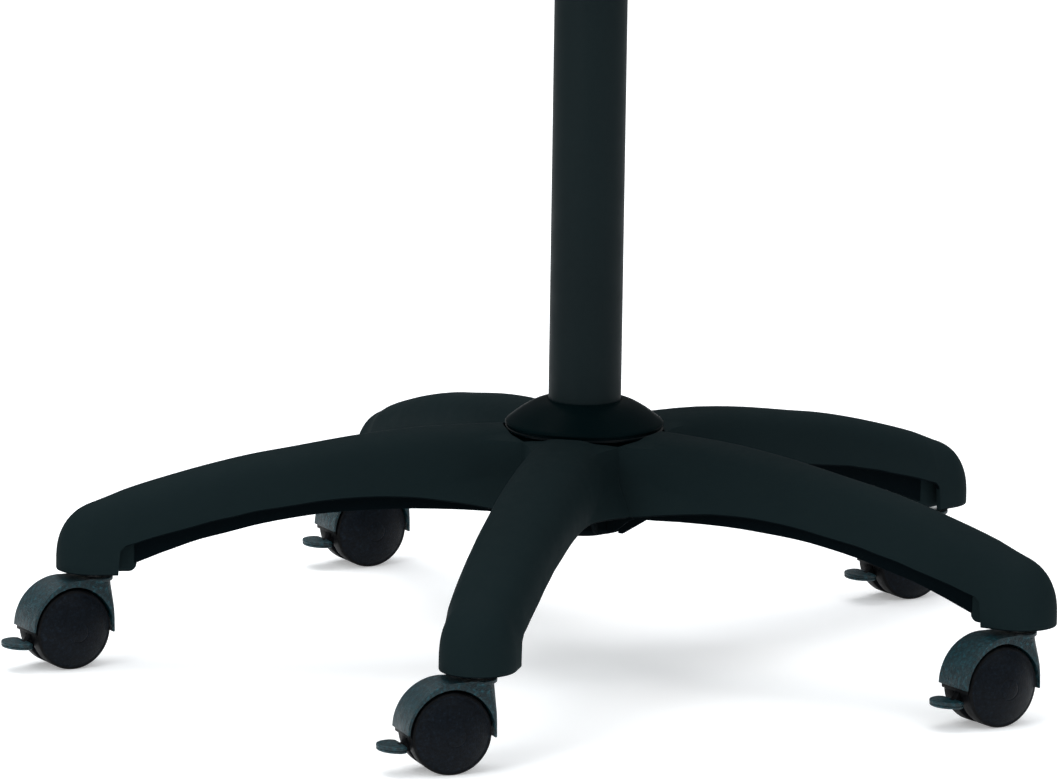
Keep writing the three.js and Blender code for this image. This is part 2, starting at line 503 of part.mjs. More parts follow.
const hoodG = hoodSolid();
const wheelG = wheelGeometry();
const pedalG = pedalSolid();
for (let k = 0; k < 5; k++) {
  const n = k + 1;
  const az = rad(ARM_AZIMUTH[k]);
  const g = new THREE.Group();
  g.position.set(STEM_CIRCLE_R * Math.cos(az), STEM_CIRCLE_R * Math.sin(az), 0);
  g.rotation.z = Math.PI + rad(TRAIL_TURN[k]);
  stool.add(g);
  // steel liner in the arm's boot, and the grip-ring stem that is pushed into it
  add(`caster_socket_${n}`, ring([[STEM_R + 0.6, 60], [8, 60], [8, 95.4], [STEM_R + 0.6, 95.4]], 12), MAT.steel, g);
  add(`caster_stem_${n}`, lathe([[0, 46.6], [STEM_R, 46.6], [STEM_R, 82], [4.2, 82.6], [4.2, 85], [5.3, 85.6], [5.3, 89], [3.6, 92.4], [0, 92.4]], 12), MAT.steel, g);
  add(`caster_hood_${n}`, hoodG, MAT.caster, g);
  add(`wheel_axle_${n}`, rodY(2.5, -13.6, 13.6, 8, cx, cz), MAT.steel, g);
  add(`caster_wheel_${n}a`, wheelG, MAT.caster, g).position.set(cx, 0, cz);
  const far = add(`caster_wheel_${n}b`, wheelG, MAT.caster, g);
  far.position.set(cx, 0, cz);
  far.rotation.z = Math.PI;
  add(`brake_pedal_${n}`, pedalG, MAT.caster, g);
}

export default stool;
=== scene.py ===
"""Adjustable swivel stool: the visual model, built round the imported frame.

Metres, +Z up, origin on the floor under the column. Lengths written as plain
numbers in the shape code below are millimetres and go through MM.
"""

import math

import bmesh
import bpy
import numpy as np
from mathutils import Matrix, Vector


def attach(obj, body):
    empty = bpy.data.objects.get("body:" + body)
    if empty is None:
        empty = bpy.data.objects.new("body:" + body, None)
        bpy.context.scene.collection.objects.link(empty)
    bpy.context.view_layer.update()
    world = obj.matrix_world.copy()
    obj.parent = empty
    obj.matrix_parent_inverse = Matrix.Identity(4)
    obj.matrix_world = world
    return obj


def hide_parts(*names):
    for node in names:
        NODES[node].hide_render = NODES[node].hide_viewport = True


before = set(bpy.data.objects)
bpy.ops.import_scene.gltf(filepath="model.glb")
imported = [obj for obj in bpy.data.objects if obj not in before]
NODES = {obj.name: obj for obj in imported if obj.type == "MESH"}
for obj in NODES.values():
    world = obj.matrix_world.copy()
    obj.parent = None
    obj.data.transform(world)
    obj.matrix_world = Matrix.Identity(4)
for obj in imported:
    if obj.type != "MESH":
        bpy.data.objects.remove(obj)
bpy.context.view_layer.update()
MM = 0.001
rad = math.radians


# ---------------------------------------------------------------- materials
def srgb(r, g, b):
    """A colour written as 0-255 display values, as linear light."""

    def one(c):
        c /= 255.0
        return c / 12.92 if c <= 0.04045 else ((c + 0.055) / 1.055) ** 2.4

    return (one(r), one(g), one(b))


class Mat:
    """A node material being put together."""

    def __init__(self, name, rough=0.5, metal=0.0, spec=0.5, coat=0.0, coat_rough=0.1, sheen=0.0, ior=1.5):
        self.mat = bpy.data.materials.new(name)
        self.mat.use_nodes = True
        self.nt = self.mat.node_tree
        self.nt.nodes.clear()
        self.out = self.node("ShaderNodeOutputMaterial")
        self.bsdf = self.node("ShaderNodeBsdfPrincipled")
        self.link(self.bsdf, "BSDF", self.out, "Surface")
        b = self.bsdf.inputs
        b["Roughness"].default_value = rough
        b["Metallic"].default_value = metal
        b["Specular IOR Level"].default_value = spec
        b["Coat Weight"].default_value = coat
        b["Coat Roughness"].default_value = coat_rough
        b["Sheen Weight"].default_value = sheen
        b["IOR"].default_value = ior
        self.co = self.node("ShaderNodeTexCoord")
        self.height = None

    def node(self, kind, **props):
        n = self.nt.nodes.new(kind)
        for k, v in props.items():
            setattr(n, k, v)
        return n

    def link(self, a, ao, b, bi):
        self.nt.links.new(a.outputs[ao], b.inputs[bi])

    def mapped(self, scale):
        m = self.node("ShaderNodeMapping")
        m.inputs["Scale"].default_value = scale
        self.link(self.co, "Object", m, "Vector")
        return m

    def noise(self, scale, detail=4.0, rough=0.55, stretch=None, distortion=0.0):
        n = self.node("ShaderNodeTexNoise")
        n.inputs["Scale"].default_value = scale
        n.inputs["Detail"].default_value = detail
        n.inputs["Roughness"].default_value = rough
        n.inputs["Distortion"].default_value = distortion
        if stretch:
            self.link(self.mapped(stretch), "Vector", n, "Vector")
        else:
            self.link(self.co, "Object", n, "Vector")
        return n

    def voronoi(self, scale, feature="F1", stretch=None):
        n = self.node("ShaderNodeTexVoronoi", feature=feature)
        n.inputs["Scale"].default_value = scale
        if stretch:
            self.link(self.mapped(stretch), "Vector", n, "Vector")
        else:
            self.link(self.co, "Object", n, "Vector")
        return n

    def ramp(self, src, out, stops):
        r = self.node("ShaderNodeValToRGB")
        self.link(src, out, r, "Fac")
        e = r.color_ramp.elements
        while len(e) > 1:
            e.remove(e[-1])
        for i, (p, c) in enumerate(stops):
            el = e[0] if i == 0 else e.new(p)
            el.position = p
            el.color = (*c, 1.0) if len(c) == 3 else c
        return r

    def colour(self, src, out, stops):
        r = self.ramp(src, out, stops)
        self.link(r, "Color", self.bsdf, "Base Color")
        return r

    def span(self, src, out, lo, hi, f0=0.3, f1=0.7):
        m = self.node("ShaderNodeMapRange")
        self.link(src, out, m, "Value")
        m.inputs["From Min"].default_value = f0
        m.inputs["From Max"].default_value = f1
        m.inputs["To Min"].default_value = lo
        m.inputs["To Max"].default_value = hi
        return m

    def roughness(self, src, out, lo, hi):
        self.link(self.span(src, out, lo, hi), "Result", self.bsdf, "Roughness")

    def bump(self, src, out, strength, distance):
        b = self.node("ShaderNodeBump")
        b.inputs["Strength"].default_value = strength
        b.inputs["Distance"].default_value = distance
        self.link(src, out, b, "Height")
        if self.height is not None:
            self.link(self.height, "Normal", b, "Normal")
        self.link(b, "Normal", self.bsdf, "Normal")
        self.height = b
        return b


def shade(c, k):
    return tuple(min(1.0, x * k) for x in c)


def moulded(name, colour, rough, spec, grain=900.0, grain_depth=0.00006, grain_strength=0.25, mottle=0.12, coat=0.0):
    """Moulded plastic: spark-eroded grain, faint flow mottling, roughness that drifts."""
    m = Mat(name, rough=rough, spec=spec, coat=coat)
    broad = m.noise(9.0, 3.0, 0.5)
    m.colour(broad, "Fac", [(0.3, shade(colour, 1 - mottle)), (0.7, shade(colour, 1 + mottle))])
    mid = m.noise(60.0, 4.0, 0.6)
    m.roughness(mid, "Fac", rough - 0.05, rough + 0.06)
    g = m.noise(grain, 2.0, 0.6)
    m.bump(g, "Fac", grain_strength, grain_depth)
    return m.mat


ARM = srgb(19, 29, 31)
MATS = {}
MATS["arm"] = moulded("arm_nylon", ARM, 0.68, 0.015, grain=1400, grain_depth=0.00004, grain_strength=0.12, mottle=0.06)
# the shell's inside, the ribs and the hub boss: a darker, duller colour that is painted shade, standing in for the
# shadow under the base
MATS["arm_underside_painted_shade"] = moulded("arm_underside_painted_shade", srgb(5, 11, 14), 0.8, 0.01, grain=500, grain_depth=0.0001, grain_strength=0.2, mottle=0.1)


def make_collar():
    m = Mat("collar_gloss", rough=0.36, spec=0.008)
    n = m.noise(14.0, 3.0)
    m.colour(n, "Fac", [(0.3, srgb(2, 11, 13)), (0.7, srgb(4, 14, 16))])
    m.roughness(m.noise(45.0, 4.0), "Fac", 0.32, 0.4)
    m.bump(m.noise(30.0, 2.0), "Fac", 0.05, 0.0003)
    return m.mat


def make_collar_rim():
    """The collar's polished edge."""
    m = Mat("collar_rim", rough=0.16, spec=0.05)
    n = m.noise(14.0, 3.0)
    m.colour(n, "Fac", [(0.3, srgb(0, 4, 6)), (0.7, srgb(2, 7, 9))])
    m.roughness(m.noise(45.0, 4.0), "Fac", 0.17, 0.24)
    return m.mat


def make_column():
    m = Mat("column_powder", rough=0.55, metal=0.0, spec=0.05)
    n = m.noise(6.0, 3.0)
    m.colour(n, "Fac", [(0.3, srgb(17, 26, 28)), (0.7, srgb(19, 29, 31))])
    m.roughness(m.noise(80.0, 3.0), "Fac", 0.48, 0.56)
    m.bump(m.noise(1100.0, 2.0, 0.5), "Fac", 0.16, 0.00005)
    m.bump(m.noise(240.0, 2.0, 0.5), "Fac", 0.08, 0.0001)
    return m.mat


def make_caster(name, colour, rough, spec, depth, strength, grain, tint):
    m = Mat(name, rough=rough, spec=spec)
    fleck = m.noise(grain * 0.34, 4.0, 0.7)
    m.colour(fleck, "Fac", [(0.34, shade(colour, 0.5)), (0.5, colour), (0.6, tint), (0.7, shade(tint, 2.0))])
    m.roughness(m.noise(160.0, 4.0, 0.65), "Fac", rough - 0.1, rough + 0.1)
    m.bump(m.voronoi(grain), "Distance", strength, depth)
    m.bump(m.noise(grain * 0.8, 3.0, 0.6), "Fac", strength, depth)
    return m.mat


def make_steel(name, lo, hi, rough, stretch):
    m = Mat(name, rough=rough, metal=1.0)
    n = m.noise(300.0, 3.0, 0.6, stretch=stretch)
    m.colour(n, "Fac", [(0.3, lo), (0.7, hi)])
    m.roughness(n, "Fac", rough - 0.06, rough + 0.08)
    m.bump(n, "Fac", 0.12, 0.00004)
    return m.mat


def make_enamel():
    m = Mat("black_enamel", rough=0.36, spec=0.5, coat=0.15, coat_rough=0.25)
    n = m.noise(18.0, 4.0)
    m.colour(n, "Fac", [(0.3, srgb(20, 21, 23)), (0.7, srgb(27, 28, 30))])
    m.roughness(m.noise(130.0, 4.0), "Fac", 0.3, 0.44)
    m.bump(m.noise(420.0, 3.0, 0.5), "Fac", 0.16, 0.0001)
    return m.mat


def make_rubber():
    m = Mat("rubber", rough=0.85, spec=0.3)
    n = m.noise(120.0, 4.0)
    m.colour(n, "Fac", [(0.3, srgb(14, 14, 14)), (0.7, srgb(24, 24, 24))])
    m.bump(n, "Fac", 0.3, 0.0002)
    return m.mat


def make_ply():
    """Birch face veneer: long wavy grain, fine pores, a few darker streaks."""
    m = Mat("birch_ply", rough=0.62, spec=0.35)
    grain = m.noise(26.0, 8.0, 0.6, stretch=(1.0, 9.0, 6.0), distortion=0.6)
    m.colour(
        grain,
        "Fac",
        [(0.25, srgb(160, 122, 80)), (0.45, srgb(196, 160, 112)), (0.6, srgb(212, 180, 134)), (0.8, srgb(182, 143, 96))],
    )
    m.roughness(m.noise(200.0, 4.0), "Fac", 0.52, 0.72)
    m.bump(m.noise(260.0, 4.0, 0.6, stretch=(1.0, 14.0, 6.0)), "Fac", 0.3, 0.00015)
    return m.mat


def make_vinyl():
    """Upholstery vinyl: pebbled leather grain over a soft, uneven satin."""
    m = Mat("seat_vinyl", rough=0.46, spec=0.45, sheen=0.05)
    n = m.noise(11.0, 5.0, 0.6)
    m.colour(n, "Fac", [(0.3, srgb(23, 26, 28)), (0.55, srgb(30, 33, 36)), (0.75, srgb(35, 39, 42))])
    m.roughness(m.noise(90.0, 5.0, 0.6), "Fac", 0.38, 0.56)
    m.bump(m.voronoi(520.0, "SMOOTH_F1"), "Distance", 0.4, 0.00022)
    m.bump(m.noise(900.0, 3.0, 0.6), "Fac", 0.2, 0.0001)
    m.bump(m.noise(34.0, 3.0, 0.5), "Fac", 0.14, 0.0008)
    return m.mat


def make_thread():
    m = Mat("thread", rough=0.7, spec=0.3, sheen=0.2)
    n = m.noise(900.0, 2.0)
    m.colour(n, "Fac", [(0.3, srgb(34, 37, 40)), (0.7, srgb(52, 56, 60))])
    m.bump(n, "Fac", 0.4, 0.0001)
    return m.mat


def make_floor():
    m = Mat("studio_floor", rough=0.9, spec=0.1)
    n = m.noise(0.9, 2.0)
    m.colour(n, "Fac", [(0.3, (0.86, 0.87, 0.88)), (0.7, (0.89, 0.9, 0.905))])
    m.bsdf.inputs["Emission Color"].default_value = (1, 1, 1, 1)
    m.bsdf.inputs["Emission Strength"].default_value = 0.3
    return m.mat


MATS["collar"] = make_collar()
MATS["collar_rim"] = make_collar_rim()
MATS["column"] = make_column()
MATS["caster"] = make_caster("caster_nylon", srgb(5, 34, 40), 0.42, 0.3, 0.0005, 0.6, 1300.0, srgb(14, 54, 62))
MATS["wheel"] = make_caster("wheel_nylon", srgb(7, 12, 18), 0.42, 0.07, 0.0003, 0.45, 1500.0, srgb(10, 17, 24))
# near-black: the wheels' tread is a darker tyre, made darker still as painted shadow in the gap under the hood; the
# same colour is painted shade on the hood's web and inner tongue and on the brake's neck
MATS["tread"] = make_caster("wheel_tread", srgb(6, 7, 9), 0.55, 0.08, 0.00012, 0.35, 700.0, srgb(11, 13, 16))
MATS["steel"] = make_steel("bright_steel", (0.46, 0.47, 0.48), (0.6, 0.61, 0.62), 0.3, (1.0, 1.0, 12.0))
MATS["zinc"] = make_steel("zinc_plate", (0.42, 0.43, 0.43), (0.56, 0.57, 0.56), 0.4, (3.0, 3.0, 3.0))
MATS["alu"] = make_steel("turned_aluminium", (0.5, 0.5, 0.5), (0.62, 0.62, 0.62), 0.35, (1.0, 1.0, 14.0))
MATS["enamel"] = make_enamel()
MATS["bush"] = moulded("acetal_bush", srgb(24, 25, 27), 0.4, 0.45, grain=800)
MATS["rubber"] = make_rubber()
MATS["ply"] = make_ply()
MATS["vinyl"] = make_vinyl()
MATS["thread"] = make_thread()
MATS["button"] = moulded("green_acetal", srgb(38, 110, 58), 0.4, 0.45, grain=800)
MATS["floor"] = make_floor()


# ---------------------------------------------------------------- mesh tools
def mesh_object(name, verts, faces, mat, smooth=38.0, scale=MM, weld=False):
    me = bpy.data.meshes.new(name)
    me.from_pydata([tuple(c * scale for c in v) for v in verts], [], faces)
    me.update()
    o = bpy.data.objects.new(name, me)
    bpy.context.scene.collection.objects.link(o)
    me.materials.append(MATS[mat] if isinstance(mat, str) else mat)
    if weld:
        bm = bmesh.new()
        bm.from_mesh(me)
        bmesh.ops.remove_doubles(bm, verts=bm.verts, dist=2e-6)
        bm.to_mesh(me)
        bm.free()
    outward(o)
    finish_shading(o, smooth)
    return o


def outward(o):
    bm = bmesh.new()
    bm.from_mesh(o.data)
    bmesh.ops.recalc_face_normals(bm, faces=bm.faces)
    bm.to_mesh(o.data)
    bm.free()
    o.data.update()


def finish_shading(o, angle=38.0):
    me = o.data
    me.polygons.foreach_set("use_smooth", [True] * len(me.polygons))
    me.set_sharp_from_angle(angle=rad(angle))
    me.update()


def apply_modifiers(o):
    dg = bpy.context.evaluated_depsgraph_get()
    dg.update()
    me = bpy.data.meshes.new_from_object(o.evaluated_get(dg), depsgraph=dg)
    old = o.data
    o.modifiers.clear()
    o.data = me
    me.name = old.name
    bpy.data.meshes.remove(old)
    return o


def boolean(o, other, operation, drop=True):
    m = o.modifiers.new("cut", "BOOLEAN")
    m.operation = operation
    m.object = other
    m.solver = "EXACT"
    apply_modifiers(o)
    if drop:
        me = other.data
        bpy.data.objects.remove(other)
        bpy.data.meshes.remove(me)
    return o


def tidy(o, dist=0.02, flat=0.6):
    """Merges stray close points and melts the edges a cut leaves across flat faces."""
    bm = bmesh.new()
    bm.from_mesh(o.data)
    bmesh.ops.remove_doubles(bm, verts=bm.verts, dist=dist * MM)
    bmesh.ops.dissolve_degenerate(bm, edges=bm.edges, dist=dist * MM * 0.5)
    if flat:
        bmesh.ops.dissolve_limit(bm, angle_limit=rad(flat), verts=bm.verts, edges=bm.edges, delimit={"NORMAL"})
    bmesh.ops.recalc_face_normals(bm, faces=bm.faces)
    bm.to_mesh(o.data)
    bm.free()
    o.data.update()
    return o


def bevel(o, width, segments=2, angle=35.0, smooth=38.0):
    m = o.modifiers.new("edges", "BEVEL")
    m.width = width * MM
    m.segments = segments
    m.limit_method = "ANGLE"
    m.angle_limit = rad(angle)
    m.use_clamp_overlap = True
    m.harden_normals = False
    apply_modifiers(o)
    finish_shading(o, smooth)
    return o


def join(name, objs):
    """One object from several, in their places."""
    bm = bmesh.new()
    mats = []
    for o in objs:
        me = o.data.copy()
        me.transform(o.matrix_world)
        base = len(mats)
        for m in o.data.materials:
            mats.append(m)
        n0 = len(bm.faces)
        bm.from_mesh(me)
        bm.faces.ensure_lookup_table()
        for f in bm.faces[n0:]:
            f.material_index += base
        bpy.data.meshes.remove(me)
    me = bpy.data.meshes.new(name)
    bm.to_mesh(me)
    bm.free()
    slots = []
    index = []
    for m in mats:
        if m not in slots:
            slots.append(m)
        index.append(slots.index(m))
    for m in slots:
        me.materials.append(m)
    for p in me.polygons:
        p.material_index = index[p.material_index]
    out = bpy.data.objects.new(name, me)
    bpy.context.scene.collection.objects.link(out)
    for o in objs:
        d = o.data
        bpy.data.objects.remove(o)
        if d.users == 0:
            bpy.data.meshes.remove(d)
    return out


def rounded(points, radii, closed=True, n=4):
    """A profile with its corners turned into arcs. radii is one number or one per corner."""
    pts = [Vector((p[0], p[1])) for p in points]
    if not isinstance(radii, (list, tuple)):
        radii = [radii] * len(pts)
    out = []
    N = len(pts)
    for i, p in enumerate(pts):
        r = radii[i]
        if (not closed and i in (0, N - 1)) or r <= 0:
            out.append((p.x, p.y))
            continue
        a = pts[i - 1] - p
        b = pts[(i + 1) % N] - p
        la, lb = a.length, b.length
        if la < 1e-6 or lb < 1e-6:
            out.append((p.x, p.y))
            continue
        a.normalize()
        b.normalize()
        cosang = max(-1.0, min(1.0, a.dot(b)))
        ang = math.acos(cosang)
        if ang > rad(172) or ang < rad(3):
            out.append((p.x, p.y))
            continue
        t = r / math.tan(ang / 2)
        t = min(t, la * 0.48, lb * 0.48)
        rr = t * math.tan(ang / 2)
        bis = (a + b).normalized()
        c = p + bis * (rr / math.sin(ang / 2))
        p0, p1 = p + a * t, p + b * t
        a0 = math.atan2(p0.y - c.y, p0.x - c.x)
        a1 = math.atan2(p1.y - c.y, p1.x - c.x)
        d = (a1 - a0 + math.pi) % (2 * math.pi) - math.pi
        for k in range(n + 1):
            aa = a0 + d * k / n
            out.append((c.x + rr * math.cos(aa), c.y + rr * math.sin(aa)))
    return out


def lathe_data(profile, segs):
    """Verts and faces of a closed (r, z) profile turned about Z. A profile that starts and ends at r = 0 closes at the axis."""
    verts, faces, rows = [], [], []
    for r, z in profile:
        if r < 1e-6:
            rows.append([len(verts)] * segs)
            verts.append((0.0, 0.0, z))
        else:
            rows.append(list(range(len(verts), len(verts) + segs)))
            for i in range(segs):
                a = 2 * math.pi * i / segs
                verts.append((r * math.cos(a), r * math.sin(a), z))
    solid = profile[0][0] < 1e-6 and profile[-1][0] < 1e-6
    pairs = list(zip(rows, rows[1:])) + ([] if solid else [(rows[-1], rows[0])])
    for a, b in pairs:
        for i in range(segs):
            k = (i + 1) % segs
            f = []
            for v in (a[i], a[k], b[k], b[i]):
                if v not in f:
                    f.append(v)
            if len(f) > 2:
                faces.append(tuple(f))
    return verts, faces


def turned(name, profile, mat, body, segs=96, replaces=(), fillet=0.4, smooth=38.0, n=4):
    solid = profile[0][0] < 1e-6 and profile[-1][0] < 1e-6
    prof = rounded(profile, fillet, closed=not solid, n=n)
    o = mesh_object(name, *lathe_data(prof, segs), mat, smooth)
    return place(o, body, replaces)


def place(o, body, replaces=()):
    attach(o, body)
    if replaces:
        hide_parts(*([replaces] if isinstance(replaces, str) else replaces))
    return o


def prism(name, outline, z0, z1, mat, smooth=38.0):
    n = len(outline)
    verts = [(x, y, z0) for x, y in outline] + [(x, y, z1) for x, y in outline]
    faces = [tuple(reversed(range(n))), tuple(range(n, 2 * n))]
    faces += [(i, (i + 1) % n, n + (i + 1) % n, n + i) for i in range(n)]
    return mesh_object(name, verts, faces, mat, smooth)


def side_slab(name, outline, y0, y1, mat, smooth=38.0):
    """An outline in the X-Z plane pushed along Y."""
    n = len(outline)
    verts = [(x, y0, z) for x, z in outline] + [(x, y1, z) for x, z in outline]
    faces = [tuple(range(n)), tuple(reversed(range(n, 2 * n)))]
    faces += [(i, n + i, n + (i + 1) % n, (i + 1) % n) for i in range(n)]
    return mesh_object(name, verts, faces, mat, smooth)


def loft(name, loops, mat, smooth=38.0, cap=True):
    n = len(loops[0])
    verts = [tuple(p) for l in loops for p in l]
    faces = []
    for i in range(len(loops) - 1):
        for j in range(n):
            k = (j + 1) % n
            faces.append((i * n + j, i * n + k, (i + 1) * n + k, (i + 1) * n + j))
    if cap:
        faces.append(tuple(reversed(range(n))))
        faces.append(tuple(range((len(loops) - 1) * n, len(loops) * n)))
    return mesh_object(name, verts, faces, mat, smooth)


def arc(cx, cy, r, a0, a1, n):
    return [
        (cx + r * math.cos(rad(a0 + (a1 - a0) * i / n)), cy + r * math.sin(rad(a0 + (a1 - a0) * i / n)))
        for i in range(n + 1)
    ]


def round_rect(hx, hy, r, n=6):
    return (
        arc(hx - r, hy - r, r, 0, 90, n)
        + arc(-hx + r, hy - r, r, 90, 180, n)
        + arc(-hx + r, -hy + r, r, 180, 270, n)
        + arc(hx - r, -hy + r, r, 270, 360, n)
    )


def table(points):
    """A smooth curve through the points that never overshoots between them."""
    x = np.array([p[0] for p in points], float)
    y = np.array([p[1] for p in points], float)
    h = np.diff(x)
    s = np.diff(y) / h
    d = np.zeros_like(y)
    for i in range(1, len(x) - 1):
        if s[i - 1] * s[i] > 0:
            w1, w2 = 2 * h[i] + h[i - 1], h[i] + 2 * h[i - 1]
            d[i] = (w1 + w2) / (w1 / s[i - 1] + w2 / s[i])
    d[0], d[-1] = s[0], s[-1]

    def f(t):
        if t <= x[0]:
            return float(y[0])
        if t >= x[-1]:
            return float(y[-1])
        i = int(np.searchsorted(x, t) - 1)
        u = (t - x[i]) / h[i]
        return float(
            y[i] * (2 * u**3 - 3 * u**2 + 1)
            + h[i] * d[i] * (u**3 - 2 * u**2 + u)
            + y[i + 1] * (-2 * u**3 + 3 * u**2)
            + h[i] * d[i + 1] * (u**3 - u**2)
        )

    return f


# ---------------------------------------------------------------- star base
STEM_R0 = 305.0
ARM_AZ = [186.53, 258.53, 330.53, 42.53, 114.53]
TRAIL = [29.5, 20.5, 34.0, 31.0, 28.0]
WALL = 3.6
NOSE = 23.8
BOOT = 291.0
HALF_W = table([(0, 26.6), (110, 26.6), (140, 26.3), (180, 25.7), (220, 25.1), (250, 24.8), (280, 24.1), (291, 23.6), (305, 23.3), (400, 23.3)])
CREST = table([(0, 149.2), (52, 149), (76, 148.3), (99, 147.2), (113, 145.9), (142, 142.1), (164, 138.4), (179, 135.7), (207, 130.8), (232, 125), (258, 117.9), (284.5, 109.7), (298, 104.4), (305, 101.6), (329, 95.2)])
EDGE = table([(0, 103), (56.6, 103), (71.4, 104.6), (90.4, 106.7), (109.5, 108.4), (128.5, 108.9), (147.5, 108.1), (166.5, 106.2), (179, 104.2), (193, 102), (206.7, 99.9), (219.4, 96.8), (234.5, 93.5), (245.7, 90.2), (256.7, 87.3), (272, 83), (281.1, 79.9), (286.5, 78.2), (289.2, 76.2), (290.6, 72.8), (BOOT, 66), (BOOT + 0.3, 59.8), (400, 59.8)])
RIB = table([(0, 86), (28, 86), (45, 96.5), (58, 97), (80, 98.4), (112, 99.2), (137, 98.4), (162, 96.8), (181, 94.2), (203, 90.2), (225, 84.6), (241, 80.6), (257, 75), (271, 69.8), (279.6, 65.8), (400, 65.8)])
HALF_SECTOR = rad(36)
# between two arms, by height up the wall (0 at its lower edge, 1 on the crest): how far the outline stays
# from the axis, and the angle at which it leaves the valley, 54 being a smooth turn and less a crease
VALLEY_R = table([(0, 69), (0.05, 67.4), (0.22, 59), (0.36, 52.8), (0.47, 51.8), (0.864, 51.4), (0.9, 48), (0.94, 41), (1, 28)])
VALLEY_TURN = table([(0, 24), (0.4, 22), (0.5, 24), (0.7, 27), (0.864, 34), (0.9, 42), (0.94, 54), (1, 54)])


def fullness(x):
    """Exponent of the arm's rounded cross-section: squarer at the hub, rounder at the boot."""
    return 3.0 + 0.35 * max(0.0, min(1.0, (110 - x) / 50)) - 0.6 * max(0.0, min(1.0, (x - 90) / 190))


def spread(h):
    """Share of the arm's half width reached at height h up its wall."""
    return max(0.0, 1 - h**3) ** (1 / 3)


def half_outline(h, inset, arc_n, mid_n, stations, nose_n):
    c36, s36 = math.cos(HALF_SECTOR), math.sin(HALF_SECTOR)
    e = spread(h)
    rv, turn = VALLEY_R(h), rad(VALLEY_TURN(h))
    bend = (rv * s36 - HALF_W(0) * e) / (1 - math.cos(turn))
    cx = rv * c36 + bend * math.sin(turn)
    cy = HALF_W(0) * e + bend
    reach = bend + inset * e
    off = cx * s36 - cy * c36
    start = cx * c36 + cy * s36 - math.sqrt(reach * reach - off * off)
    a0 = math.atan2(start * s36 - cy, start * c36 - cx) % (2 * math.pi)
    pts = []
    for i in range(arc_n + 1):
        a = a0 + (1.5 * math.pi - a0) * i / arc_n
        pts.append((cx + reach * math.cos(a), cy + reach * math.sin(a)))
    for i in range(1, mid_n + 1):
        x = cx + (stations[0] - cx) * i / (mid_n + 1)
        pts.append((x, e * (HALF_W(x) - inset)))
    for x in stations:
        pts.append((x, e * (HALF_W(x) - inset)))
    for i in range(nose_n + 1):
        a = math.pi / 2 * (1 - i / nose_n)
        pts.append((STEM_R0 + e * (NOSE - inset) * math.cos(a), e * (HALF_W(STEM_R0) - inset) * math.sin(a)))
    return pts


def section_height(x, e, inset):
    crest = CREST(x) - inset
    edge = EDGE(min(x, 288.0))
    low = min(edge, 66.0)
    spring = low + (edge - low) * max(0.0, (300.0 - x) / 12.0) if x > 288 else edge + 1.0
    n = fullness(x)
    return spring + (crest - spring) * max(0.0, 1 - e**n) ** (1 / n)


STATIONS = [float(x) for x in np.linspace(120, 276, 27)] + [280.0, 283.5, 286.5, 288.4, 289.6, 290.4, BOOT, BOOT + 0.3, 293.0, 298.0]
ARC_N, MID_N, NOSE_N = 16, 4, 12
OUTER_H = [0, 0.05, 0.12, 0.2, 0.28, 0.36, 0.45, 0.54, 0.63, 0.72, 0.79, 0.85, 0.9, 0.935, 0.96, 0.978, 0.99, 0.9965, 0.9995, 1]
INNER_H = [0, 0.12, 0.24, 0.36, 0.5, 0.64, 0.76, 0.86, 0.93, 0.97, 0.992, 1]


def star_loop(h, inset):
    """One closed plan loop round all five arms: (x, y, distance out along the arm)."""
    half = half_outline(h, inset, ARC_N, MID_N, STATIONS, NOSE_N)
    loop = []
    for k in range(5):
        az = rad(ARM_AZ[0] + 72 * k)
        c, s = math.cos(az), math.sin(az)
        for sgn, pts in ((-1, half), (1, half[:-1][::-1][:-1])):
            for x, y in pts:
                loop.append((x * c - sgn * y * s, x * s + sgn * y * c, x))
    return loop


def star_mesh(name, rows, mat, top=None, bottom=None):
    """Skins rows of equal loops [(x, y, z), ...] in order; top and bottom close the ends at a centre point."""
    n = len(rows[0])
    verts = [p for r in rows for p in r]
    faces = []
    for i in range(len(rows) - 1):
        for j in range(n):
            k = (j + 1) % n
            faces.append((i * n + j, i * n + k, (i + 1) * n + k, (i + 1) * n + j))
    for z, row in ((bottom, 0), (top, len(rows) - 1)):
        if z is not None:
            m = len(verts)
            verts.append((0.0, 0.0, z))
            for j in range(n):
                a, b = verts[row * n + j], verts[row * n + (j + 1) % n]
                # along an arm the two sides meet on the crest line, so nothing is left to close there
                if abs(a[0] * b[1] - a[1] * b[0]) > 1e-3:
                    faces.append((row * n + j, row * n + (j + 1) % n, m))
    return mesh_object(name, verts, faces, mat, 40, weld=True)


def row(h, inset, fz):
    return [(x, y, fz(q)) for x, y, q in star_loop(h, inset)]


def skin(heights, inset):
    return [row(h, inset, lambda q, e=spread(h): section_height(q, e, inset)) for h in heights]


